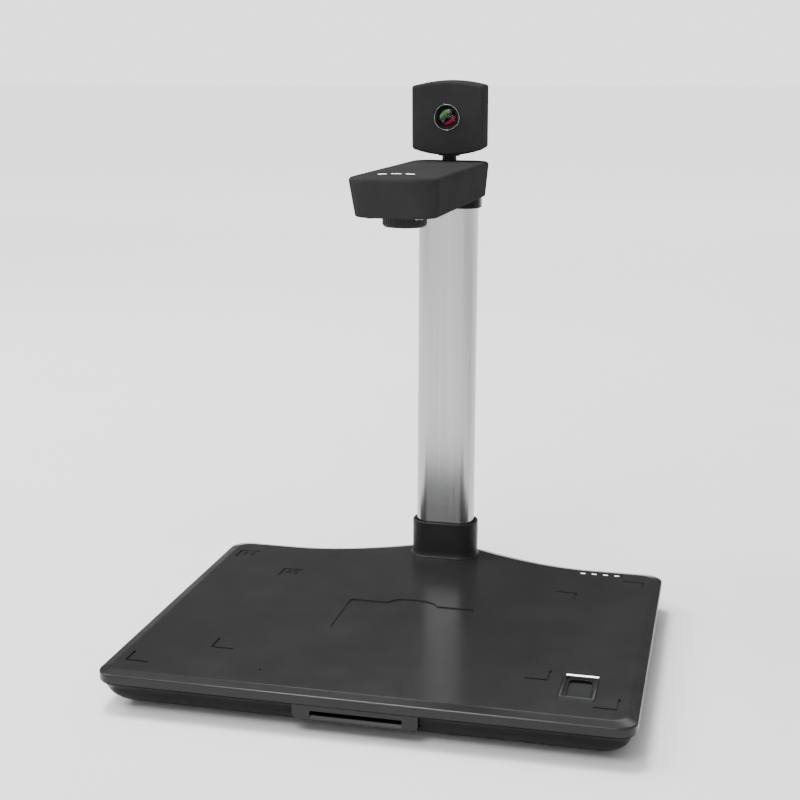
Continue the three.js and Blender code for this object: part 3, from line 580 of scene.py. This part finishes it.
GLYPHS = {
    "A": [((0, 0), (0.5, 1)), ((0.5, 1), (1, 0)), ((0.2, 0.38), (0.8, 0.38))],
    "4": [((0.75, 0), (0.75, 1)), ((0.75, 1), (0, 0.3)), ((0, 0.3), (1, 0.3))],
    "5": [((0.95, 1), (0.15, 1)), ((0.15, 1), (0.1, 0.58)), ((0.1, 0.58), (0.6, 0.62)),
          ((0.6, 0.62), (0.95, 0.4)), ((0.95, 0.4), (0.9, 0.12)), ((0.9, 0.12), (0.5, 0)),
          ((0.5, 0), (0.05, 0.1))],
}


def size_label(digit, x, y):
    """Strokes of the letter A and a digit, each a little deeper than the last."""
    height, width, gap, line = 6.4 * MM, 3.6 * MM, 1.3 * MM, 0.8 * MM
    tools = []
    for index, letter in enumerate(("A", digit)):
        left = x + index * (width + gap)
        for (u0, v0), (u1, v1) in GLYPHS[letter]:
            start = (left + u0 * width, y + v0 * height)
            end = (left + u1 * width, y + v1 * height)
            tools.append(stroke(start, end, line, 0.7 * MM + 0.004 * MM * len(tools)))
    return tools


def card_recess():
    """Cutter for an identity card's seat, with a thumb notch in its rear edge."""
    half_x, half_y, depth, corner = 42.8 * MM, 27 * MM, 0.7 * MM, 2.5 * MM
    front, back = BED.y - half_y, BED.y + half_y
    notch, notch_back = 17 * MM, back + 8.2 * MM
    curve = bezier([(notch, back), (14 * MM, back + 7 * MM), (8 * MM, notch_back), (0, notch_back)], 16)
    seat = arc(half_x - corner, front + corner, corner, -90, 0, 6) + [(half_x, BED.y)]
    seat += arc(half_x - corner, back - corner, corner, 0, 90, 6) + [(20 * MM, back)]
    seat += curve + [(0, notch_back)] + [(-x, y) for x, y in reversed(curve[1:])]
    seat += [(-notch, back), (-20 * MM, back)]
    seat += arc(-half_x + corner, back - corner, corner, 90, 180, 6) + [(-half_x, BED.y)]
    seat += arc(-half_x + corner, front + corner, corner, 180, 270, 6)
    return prism("card_recess", [(BED.x + x, y) for x, y in seat], BED.z - depth, BED.z + 1 * MM)


def node_window(node, grow, radius):
    """Cutter for an opening round a node that shows through the bed."""
    low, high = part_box(node)
    points = rounded_rect(low.x - grow, high.x + grow, low.y - grow, high.y + grow, radius, 6)
    return prism("window", points, 20 * MM, 30 * MM)


def node_bore(node, profile, steps):
    """Cutter turned on a node's upright axis; profile is in metres."""
    low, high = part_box(node)
    return turned("bore", profile, ((low.x + high.x) / 2, (low.y + high.y) / 2, 0), steps)


def build_bed_cover():
    """Top cover: a level bed with a sloping rim, hollow below."""
    cover = base_loft("bed_cover", [
        (18.8, 0.5), (18.95, 0.15), (19.3, 0), (23.5, 0), (23.9, 0.08), (24.25, 0.32), (24.5, 0.75),
        (24.68, 1.35), (25.76, 5.95), (25.9, 6.6), (25.97, 7.05), (26, 7.6),
    ])
    inside = base_loft("inside", [(17.8, 2.4), (22.2, 2.4), (23.5, 7)])
    tools = [inside, card_recess(), prism("column_hole", column_points(0.5 * MM), 20 * MM, 30 * MM)]
    tools.append(node_window("fingerprint_frame", 0.3 * MM, 2 * MM))
    tools.append(node_window("fingerprint_light_bar", 0.25 * MM, 1 * MM))
    tools += [node_window(f"status_light_{i}", 0.2 * MM, 0.7 * MM) for i in range(1, 5)]
    bore, rim = 0.7 * MM, 1.1 * MM
    sound_hole = [(0, 20 * MM), (bore, 20 * MM), (bore, 25.5 * MM), (rim, 26.2 * MM), (0, 26.2 * MM)]
    tools.append(node_bore("microphone", sound_hole, 24))
    carve(cover, *tools, *sheet_marks())
    place(soften(cover, 0.12 * MM, 32), "stand", BED_COVER, "black_cover", "base_top_cover")


def build_lower_shell():
    """Lower cover: it draws in below the seam, with room for the slot, sockets, feet and screws."""
    shell = base_loft("lower_shell", [
        (2, 18.2), (2.1, 17.2), (2.6, 15.8), (3.4, 14.2), (4.6, 12.1), (6, 10), (7.8, 7.9), (10, 5.9),
        (12, 4.7), (14, 3.8), (16, 2.75), (17.4, 1.4), (18.05, 0.75), (18.35, 0.8), (18.5, 1.2),
    ])
    hollow = base_loft("hollow", [
        (4.4, 18.2), (6.4, 13), (10.4, 8.4), (14, 6.4), (18.1, 3.6), (20, 3.6),
    ])
    slot_gap, port_gap = 0.15 * MM, 0.3 * MM
    slot_room = box(
        "slot_room", (BEZEL_LOW.x - slot_gap, -150 * MM, BEZEL_LOW.z - slot_gap),
        (BEZEL_HIGH.x + slot_gap, -128 * MM, 20 * MM),
    )
    port_room = box(
        "port_room", (PORT_LOW.x - port_gap, 95 * MM, PORT_LOW.z - port_gap),
        (PORT_HIGH.x + port_gap, 115 * MM, 17.5 * MM),
    )
    foot, screw, head = 9.4 * MM, 3.2 * MM, 3.4 * MM
    foot_bore = [(0, 1 * MM), (foot, 1 * MM), (foot, 3.1 * MM), (0, 3.1 * MM)]
    screw_bore = [(0, 1 * MM), (head, 1 * MM), (screw, 2.6 * MM), (screw, 5.4 * MM), (0, 5.4 * MM)]
    bores = [node_bore(f"foot_{i}", foot_bore, 48) for i in range(1, 5)]
    bores += [node_bore(f"base_screw_{i}", screw_bore, 32) for i in range(1, 7)]
    carve(shell, hollow, slot_room, port_room, *bores)
    place(soften(shell, 0.1 * MM, 32), "stand", SHELL, "black_cover", "base_bottom_cover")


def build_card_bezel():
    """Flush block round the card slot; the slot's lower lip slopes up inwards."""
    x0, x1, z0, z1 = BEZEL_LOW.x, BEZEL_HIGH.x, BEZEL_LOW.z, BEZEL_HIGH.z
    front, rear, corner = BEZEL_LOW.y, BEZEL_HIGH.y, 3 * MM
    rings = []
    for y, inset in ((front, 0.35), (front + 0.1 * MM, 0.12), (front + 0.35 * MM, 0), (rear, 0)):
        g = inset * MM
        face = arc(x1 - corner, z0 + corner, corner - g, -90, 0, 10)
        face += [(x1 - g, z0 + corner), (x1 - g, z1), (x0 + g, z1)]
        face += arc(x0 + corner, z0 + corner, corner - g, 180, 270, 10) + [(x0 + corner, z0 + g)]
        rings.append([(x, y, z) for x, z in face])
    block = loft("slot_block", rings)
    left, right = -26.3 * MM, 28.5 * MM
    outside, inside = front - 1 * MM, front + 1.5 * MM
    mouth = box("mouth", (left, outside, 12 * MM), (right, rear + 1 * MM, 15.3 * MM))
    slope = [(outside, 9.7 * MM), (inside, 12.05 * MM), (inside, 12.6 * MM), (outside, 12.6 * MM)]
    carve(block, mouth, side_prism("ramp", slope, left, right))
    place(soften(block, 0.25 * MM, 30, 3), "stand", LIP, "black_trim", "card_slot_bezel")


def build_base_collar():
    """Skirt round the column's foot: it flares out below and rolls over at the top."""
    foot, top, wall = COLLAR_LOW.z, COLLAR_HIGH.z, 2.2 * MM
    flare = ((0, 3.7), (0.15, 3.4), (0.5, 3.0), (1.1, 2.65), (2.0, 2.38), (3.2, 2.24), (4.6, 2.2))
    roll = ((0.9, 0), (0.4, 0.12), (0.12, 0.4), (0, 0.8), (0, 1.5), (0.15, 1.9), (0.5, 2.1))
    rings = [flat_ring(column_points(PLAY - 0.1 * MM), foot)]
    rings += [flat_ring(column_points(PLAY + grow * MM), foot + rise * MM) for rise, grow in flare]
    rings += [flat_ring(column_points(PLAY + wall - cut * MM), top - drop * MM) for drop, cut in roll]
    rings.append(flat_ring(column_points(PLAY), top - 3 * MM))
    collar = loft("collar_skirt", rings, closed=True)
    place(soften(collar, 0, 40), "stand", COLLAR, "black_trim", "base_collar")


def build_head_cuff():
    """Cuff round the column's top, rounded along its lower edge."""
    low, high, wall = CUFF_LOW.z, CUFF_HIGH.z, 1.5 * MM
    edge = ((1.2, -0.1), (0.2, 0.1), (0, 0.4), (0, 0.9), (0.15, 1.2), (0.5, 1.45), (1.1, 1.5))
    rings = [flat_ring(column_points(PLAY + grow * MM), low + rise * MM) for rise, grow in edge]
    rings.append(flat_ring(column_points(PLAY + wall), high))
    rings.append(flat_ring(column_points(PLAY - 0.1 * MM), high))
    cuff = loft("head_cuff", rings, closed=True)
    place(soften(cuff, 0, 40), "stand", TRIM, "black_trim", "head_collar")


def build_column():
    """Hollow extrusion with rounded corners."""
    outer, inner = column_points(0, 18), column_points(-2.2 * MM, 18)
    z0, z1 = COLUMN_LOW.z, COLUMN_HIGH.z
    rings = [flat_ring(outer, z0 + (z1 - z0) * i / 6) for i in range(7)]
    rings += [flat_ring(inner, z) for z in (z1, z0)]
    bar = loft("column_bar", rings, closed=True)
    place(soften(bar, 0.2 * MM, 40), "stand", ALUMINIUM, "anodised_aluminium", "column")


# ------------------------------------------------------------------ head
def head_outline(draft, inset):
    """Plan outline of the head; draft runs from 0 at its top edge to 1 at its foot."""
    half = HEAD_HIGH.x - draft * HEAD_SIDE_DRAFT - inset
    front = HEAD_LOW.y + draft * HEAD_FRONT_DRAFT + inset
    rear = HEAD_HIGH.y - draft * HEAD_REAR_DRAFT - inset
    rf, rr = (15.6 - draft) * MM - inset, (14 - draft) * MM - inset
    return (
        arc(half - rf, front + rf, rf, -90, 0, 18) + [(half, front + rf)]
        + arc(half - rr, rear - rr, rr, 0, 90, 18) + [(half - rr, rear)]
        + arc(-half + rr, rear - rr, rr, 90, 180, 18) + [(-half, rear - rr)]
        + arc(-half + rf, front + rf, rf, 180, 270, 18) + [(-half + rf, front)]
    )


def head_loft(name, levels):
    """The head's outline at each (height, draft, inset) level, height and inset in mm."""
    rings = [flat_ring(head_outline(draft, inset * MM), z * MM) for z, draft, inset in levels]
    return loft(name, rings)


def key_points(index, grow):
    """Outline of one of the three touch keys, an arc in the head's top, drawn out by grow."""
    middle = KEY_MIDDLE + (1 - index) * KEY_PITCH
    sweep = KEY_HALF_SWEEP + math.degrees(grow / KEY_RADIUS)
    half_width = KEY_HALF_WIDTH + grow
    outer = arc(*KEY_CENTRE, KEY_RADIUS + half_width, middle - sweep, middle + sweep, 20)
    inner = arc(*KEY_CENTRE, KEY_RADIUS - half_width, middle + sweep, middle - sweep, 20)
    return outer + inner


def build_head():
    """Head shell: drafted sides and a rounded top edge, hollow and open below."""
    z0, z1, top = HEAD_LOW.z / MM, HEAD_HIGH.z / MM, HEAD_HIGH.z
    shell = head_loft("head_shell", [
        (z0, 1, 1.3), (z0 + 0.12, 1, 0.75), (z0 + 0.4, 1, 0.32), (z0 + 0.8, 1, 0.08), (z0 + 1.3, 0.98, 0),
        (z1 - 2.5, 0, 0), (z1 - 2.0, 0, 0.06), (z1 - 1.5, 0, 0.2), (z1 - 1.0, 0, 0.45),
        (z1 - 0.6, 0, 0.8), (z1 - 0.3, 0, 1.2), (z1 - 0.1, 0, 1.7), (z1, 0, 2.5),
    ])
    hollow = head_loft("hollow", [(z0 - 1, 1, 2), (z0 + 1, 1, 2), (z1 - 4.4, 0.1, 2), (z1 - 2, 0, 4)])
    bore, rim, below, above = 5.4 * MM, 6.1 * MM, 300 * MM, 320 * MM
    stem = [(0, below), (bore, below), (bore, top - 0.3 * MM), (rim, top + 0.4 * MM), (0, above)]
    stem_hole = turned("stem_hole", stem, (PAN.x, PAN.y, 0), 64)
    keys = [prism("key_hole", key_points(i, 0.2 * MM), 308 * MM, above) for i in range(3)]
    carve(shell, hollow, stem_hole, *keys)
    place(soften(shell, 0.08 * MM, 34), "stand", COVER, "black_cover", "head_top_cover")


def build_focus_ring():
    """Ribbed grip ring: each rib is a rounded tooth with a run-out at both ends."""
    radius, bore, depth, ribs = RING_HIGH.x - LENS.x, 10.9 * MM, 0.5 * MM, 40
    low, high, neck = RING_LOW.z, RING_HIGH.z, RING_HIGH.z + 0.6 * MM
    steps = ribs * 8
    outside = (
        (0, 1.3, 0), (0.25, 0.75, 0), (0.7, 0.5, 0), (1.1, 0.45, 0),
        (1.7, 0, 1), (6.6, 0, 1), (7.0, 0.45, 0),
    )
    rings = []
    for rise, inset, grip in outside:
        ring = []
        for i in range(steps):
            angle = 2 * math.pi * i / steps
            wave = max(-0.6, math.cos(ribs * angle)) * 0.5 + 0.3
            r = radius - inset * MM - grip * depth * (0.8 - wave)
            ring.append((LENS.x + r * math.cos(angle), LENS.y + r * math.sin(angle), low + rise * MM))
        rings.append(ring)
    inside = (
        (high, radius - 0.6 * MM), (neck, radius - 0.7 * MM), (neck, bore),
        (low + 0.4 * MM, bore), (low, bore + 0.4 * MM),
    )
    rings += [flat_ring(circle(LENS.x, LENS.y, r, steps), z) for z, r in inside]
    ring = loft("ribbed_focus_ring", rings, closed=True)
    place(soften(ring, 0, 45), "focus_ring", COLLAR, "black_trim", "focus_ring")


# ------------------------------------------------------------------ portrait camera
LEAN = Matrix.Translation(TILT) @ Matrix.Rotation(CAMERA_LEAN, 4, "X") @ Matrix.Translation(-TILT)


def place_on_camera(obj, material, slot, *nodes):
    """Leans a piece drawn upright to the camera's resting angle and hands it over."""
    obj.data.transform(LEAN)
    place(obj, "portrait_camera", material, slot, *nodes)


def camera_profile(inset):
    """Front view (x, z) of the body: upright sides, arched top and bottom edges."""
    w, z0, z1 = CAM_HALF - inset, CAM_BOTTOM + CAM_SAG + inset, CAM_TOP - CAM_CROWN - inset
    low, high = 3 * MM - 0.3 * inset, 2.4 * MM - 0.3 * inset
    bottom = bezier([(-w + low, z0), (0, z0 - 2 * CAM_SAG), (w - low, z0)], 24)
    right_low = bezier([(w - low, z0), (w, z0 + 0.4 * MM), (w, z0 + low)], 8)
    right_high = bezier([(w, z1 - high), (w, z1 - 0.1 * MM), (w - high, z1)], 8)
    top = bezier([(w - high, z1), (0, z1 + 2 * CAM_CROWN), (-w + high, z1)], 24)
    left_high = bezier([(-w + high, z1), (-w, z1 - 0.1 * MM), (-w, z1 - high)], 8)
    left_low = bezier([(-w, z0 + low), (-w, z0 + 0.4 * MM), (-w + low, z0)], 8)
    return bottom + right_low + right_high + top + left_high + left_low


def camera_loft(name, levels):
    """The body's outline at each (y in metres, inset in mm) level."""
    return loft(name, [[(x, y, z) for x, z in camera_profile(inset * MM)] for y, inset in levels])


def build_camera_body():
    """Two half shells that meet at the tilt axis, with room for the knuckle, stem and lens."""
    seam, half, hair = TILT.y, 7.8 * MM, 0.01 * MM
    edge = [(0, 2.0), (0.08, 1.45), (0.3, 0.95), (0.62, 0.55), (1.05, 0.25), (1.5, 0.08), (2.0, 0)]
    front = [(CAM_FRONT + rise * MM, inset) for rise, inset in edge]
    front += [(seam - 0.35 * MM, 0), (seam - 0.15 * MM, 0.2)]
    rear = [(seam + 0.15 * MM, 0.2), (seam + 0.35 * MM, 0)]
    rear += [(CAM_REAR - rise * MM, inset) for rise, inset in reversed(edge)]
    knuckle, seat, bore = 7.3 * MM, 9.5 * MM, 7.4 * MM
    knuckle_room = [(0, -half), (knuckle, -half), (knuckle, half), (0, half)]
    lens_hole = [
        (0, -2 * MM), (seat, -2 * MM), (seat, 1.2 * MM), (bore, 1.2 * MM), (bore, 8 * MM), (0, 8 * MM),
    ]
    for name, levels, hollow, node in (
        ("camera_front_shell", front, [(CAM_FRONT + 2 * MM, 2), (seam + 1 * MM, 2)], "camera_front_cover"),
        ("camera_back_shell", rear, [(seam - 1 * MM, 2), (CAM_REAR - 2 * MM, 2)], "camera_rear_cover"),
    ):
        body = camera_loft(name, levels)
        tools = [camera_loft("hollow", hollow)]
        tools.append(turned("knuckle_room", knuckle_room, (0, TILT.y, TILT.z), 64, "X"))
        tools.append(box(
            "slot", (-half + hair, TILT.y - 8 * MM, 310 * MM), (half - hair, TILT.y + 8 * MM, TILT.z),
        ))
        if node == "camera_front_cover":
            tools.append(turned("lens_hole", lens_hole, (0, CAM_FRONT, CAM_LENS), 96, "Y"))
        carve(body, *tools)
        place_on_camera(soften(body, 0.1 * MM, 34), COVER, "black_cover", node)


def build_camera_optics():
    """The lens: chrome bezel, stepped tunnel, a dark element with painted reflections inside and a clear one in
    front.
    """
    centre, steps = (0, CAM_FRONT, CAM_LENS), 96

    def optic(name, profile, material, slot, *nodes):
        piece = turned(name, [(r * MM, d * MM) for r, d in profile], centre, steps, "Y")
        place_on_camera(soften(piece, 0, 50), material, slot, *nodes)

    rim = (
        (8.3, 0.9), (8.3, -0.3), (8.38, -0.5), (8.55, -0.66), (8.75, -0.7),
        (8.95, -0.6), (9.1, -0.38), (9.18, -0.1), (9.2, 0.25), (9.2, 0.9),
    )
    rings = [[(x, CAM_FRONT + d * MM, z) for x, z in circle(0, CAM_LENS, r * MM, steps)] for r, d in rim]
    bezel = loft("lens_bezel", rings, closed=True)
    place_on_camera(soften(bezel, 0, 50), CHROME, "chrome", "camera_lens_ring")
    optic("lens_tunnel", (
        (0, 2.4), (5.7, 2.4), (6.1, 1.6), (6.25, 1.0), (6.6, 0.75), (7.3, 0.2), (8.0, -0.25),
        (8.25, -0.3), (8.25, 0.9), (6.75, 0.95), (6.75, 4.6), (0, 4.6),
    ), INNER, "inner_plastic", "camera_lens_barrel")
    # colours of the painted reflections on the inner element
    green_reflection, red_reflection = (0.10, 0.26, 0.08), (0.34, 0.015, 0.07)
    painted_reflections = painted_reflection_lens("painted_reflection_lens", LEAN @ Vector(centre), green_reflection, red_reflection)
    optic("inner_element", (
        (0, 0.75), (1.8, 0.84), (3.4, 1.15), (4.6, 1.6), (5.3, 1.98), (5.6, 2.35), (0, 2.35),
    ), painted_reflections, "lens_glass")
    optic("front_element", (
        (0, 0.2), (1.6, 0.26), (3.2, 0.46), (4.6, 0.8), (5.5, 1.15), (5.9, 1.4),
        (5.9, 1.55), (5.4, 1.35), (4.5, 1.0), (3.2, 0.7), (1.6, 0.52), (0, 0.48),
    ), GLASS, "lens_glass", "camera_lens_glass")


# ------------------------------------------------------------------ fingerprint reader
def build_fingerprint_frame():
    """Raised surround: a sunken ledge, an arched finger window in it and a sloping front lip."""
    low, high = FINGER_LOW, FINGER_HIGH
    top, above = TOP_HIGH.z + 0.5 * MM, 28 * MM
    rings = []
    for z, inset in ((21, 0), (26.15, 0), (26.32, 0.06), (26.44, 0.18), (26.5, 0.36)):
        g = inset * MM
        outline = rounded_rect(low.x + g, high.x - g, low.y + g, high.y - g, 1.7 * MM - g, 8)
        rings.append(flat_ring(outline, z * MM))
    block = loft("finger_frame", rings)
    outline = rounded_rect(
        low.x + 2 * MM, high.x - 1.9 * MM, low.y + 3.4 * MM, high.y - 1.5 * MM, 1.3 * MM, 8,
    )
    ledge = prism("ledge", outline, 25.75 * MM, above)
    x0, x1, corner = low.x + 3.9 * MM, high.x - 3.2 * MM, 1.2 * MM
    y0, y1 = low.y + 4.9 * MM, high.y - 5.2 * MM
    arch = bezier([(x1, y1), (x1 - 1.5 * MM, y1 + 3.2 * MM), (x0 + 1.5 * MM, y1 + 3.2 * MM), (x0, y1)], 20)
    outline = arc(x0 + corner, y0 + corner, corner, 180, 270, 6)
    outline += arc(x1 - corner, y0 + corner, corner, -90, 0, 6) + [(x1, y0 + corner)]
    window = prism("window", outline + arch + [(x0, y1)], 20 * MM, above)
    outside, inside = low.y - 1 * MM, low.y + 2.9 * MM
    slope = [(outside, 25.6 * MM), (inside, top + 0.12 * MM), (inside, above), (outside, above)]
    carve(block, ledge, window, side_prism("lip", slope, low.x - 2 * MM, high.x + 2 * MM))
    place(soften(block, 0.22 * MM, 25, 3), "stand", GLOSS_TRIM, "black_trim", "fingerprint_frame")


# ------------------------------------------------------------------ carried-over CAD nodes
NODE_FINISH = {
    "black_trim": TRIM, "inner_plastic": INNER, "anodised_aluminium": ALUMINIUM, "steel": STEEL,
    "chrome": CHROME, "rubber": RUBBER, "circuit_board": BOARD, "cable_jacket": INNER,
    "black_cover": COVER, "lens_glass": GLASS, "light_pipe": LIGHT_SMALL,
}
EDGE = {"rear_port_panel": 0.4, "usb_socket": 0.1, "power_inlet": 0.15, "pan_stem": 0.3}   # mm
PLAIN_EDGE = 0.12


def finish_nodes():
    """Gives every CAD node its material, and the visible ones soft edges."""
    slots = {part["node"]: part["material_slot"] for part in frame["record"]["subparts"]}
    for name, node in frame["nodes"].items():
        material = NODE_FINISH[slots[name]]
        if name.startswith("touch_key_") or name == "fingerprint_light_bar":
            material = LIGHT
        if name == "lamp_diffuser":
            material = LAMP
        if name == "fingerprint_window":
            material = PANE
        node.data.materials.clear()
        node.data.materials.append(material)
        if node.hide_render:
            continue
        soften(node, EDGE.get(name, PLAIN_EDGE) * MM, 35)


# ------------------------------------------------------------------ stage, light, camera
def build_stage():
    """A pale floor with a painted glow: none near the camera and the object, rising to plain white towards the
    horizon.
    """
    half, middle, near, far = 90, (0, -1.6, 0), 1.8, 4.8
    corners = [(-half, -half, 0), (half, -half, 0), (half, half, 0), (-half, half, 0)]
    floor = mesh_object("floor", corners, [(0, 1, 2, 3)])
    s = Shader("floor_paper")
    s.main.inputs["Specular IOR Level"].default_value = 0.1
    s.main.inputs["Emission Strength"].default_value = 1.45
    away = s.vector_math("DISTANCE", s.position, middle).outputs["Value"]
    black, grey, white = ((value, value, value) for value in (0, 0.4, 1))
    # painted light: the floor's glow is nil near the camera and rises to white far off
    painted_glow = s.ramp(s.spread(away, 0, 1, near, far), (0.0, black), (0.3, grey), (1.0, white))
    s.set("Emission Color", painted_glow)
    s.set("Base Color", s.ramp(s.noise(3, 3), (0.3, (0.88, 0.88, 0.88)), (0.7, (0.9, 0.9, 0.9))))
    s.set("Roughness", s.spread(s.noise(6, 3), 0.6, 0.7))
    floor.data.materials.append(s.material)


LAMPS = (   # name, place, aim, width, height, watts
    ("top", (-0.45, 0.15, 2.0), (0, 0, 0), 0.6, 0.6, 42),
    ("key", (-1.6, 0.0, 1.7), (0, 0, 0.05), 1.2, 1.2, 36),
    ("back", (0.0, 2.3, 1.98), (0, 0, 0), 2.2, 0.6, 13),
    ("front", (-0.3, -1.3, 1.9), (0, 0, 0.1), 0.9, 0.9, 26),
    ("low_front", (-0.3, -3.0, 1.1), (0, 0, 0.1), 2.0, 2.0, 24),
)
# sky brightness by height: white at the horizon, dim at a middle height, brighter overhead
SKY = ((0.0, 1.0), (0.05, 1.0), (0.08, 0.045), (0.45, 0.06), (0.65, 0.3), (1.0, 0.45))


def area_light(name, spot, aim, width, height, watts):
    data = bpy.data.lights.new(name, "AREA")
    data.energy = watts
    data.shape = "RECTANGLE"
    data.size = width
    data.size_y = height
    lamp = bpy.data.objects.new(name, data)
    bpy.context.scene.collection.objects.link(lamp)
    lamp.location = spot
    lamp.rotation_euler = (Vector(aim) - Vector(spot)).to_track_quat("-Z", "Y").to_euler()


def build_light():
    """Graded sky and the studio's area lights."""
    world = bpy.data.worlds.new("studio")
    bpy.context.scene.world = world
    world.use_nodes = True
    nodes, links = world.node_tree.nodes, world.node_tree.links
    direction = nodes.new("ShaderNodeTexCoord").outputs["Generated"]
    split = nodes.new("ShaderNodeSeparateXYZ")
    links.new(direction, split.inputs["Vector"])
    ramp = nodes.new("ShaderNodeValToRGB")
    while len(ramp.color_ramp.elements) < len(SKY):
        ramp.color_ramp.elements.new(0.5)
    for element, (height, value) in zip(ramp.color_ramp.elements, SKY):
        element.position = height
        element.color = (value, value, value, 1)
    links.new(split.outputs["Z"], ramp.inputs["Fac"])
    background = nodes["Background"]
    links.new(ramp.outputs["Color"], background.inputs["Color"])
    background.inputs["Strength"].default_value = 2.2
    for lamp in LAMPS:
        area_light(*lamp)


def build_camera():
    """A view from 13.3 degrees round to the right, looking 12.9 degrees down."""
    data = bpy.data.cameras.new("view")
    data.lens = 63.8
    data.sensor_width = 36
    data.clip_end = 50
    view = bpy.data.objects.new("view", data)
    bpy.context.scene.collection.objects.link(view)
    azimuth, pitch, roll = math.radians(13.29), math.radians(12.91), math.radians(0.18)
    view.location = (0.1985, -0.8693, 0.3734)
    turn = Matrix.Rotation(azimuth, 4, "Z") @ Matrix.Rotation(math.pi / 2 - pitch, 4, "X")
    view.rotation_euler = (turn @ Matrix.Rotation(roll, 4, "Z")).to_euler()
    bpy.context.scene.camera = view


build_camera()
build_bed_cover()
build_lower_shell()
build_card_bezel()
build_base_collar()
build_head_cuff()
build_column()
build_head()
build_focus_ring()
build_camera_body()
build_camera_optics()
build_fingerprint_frame()
finish_nodes()
build_stage()
build_light()
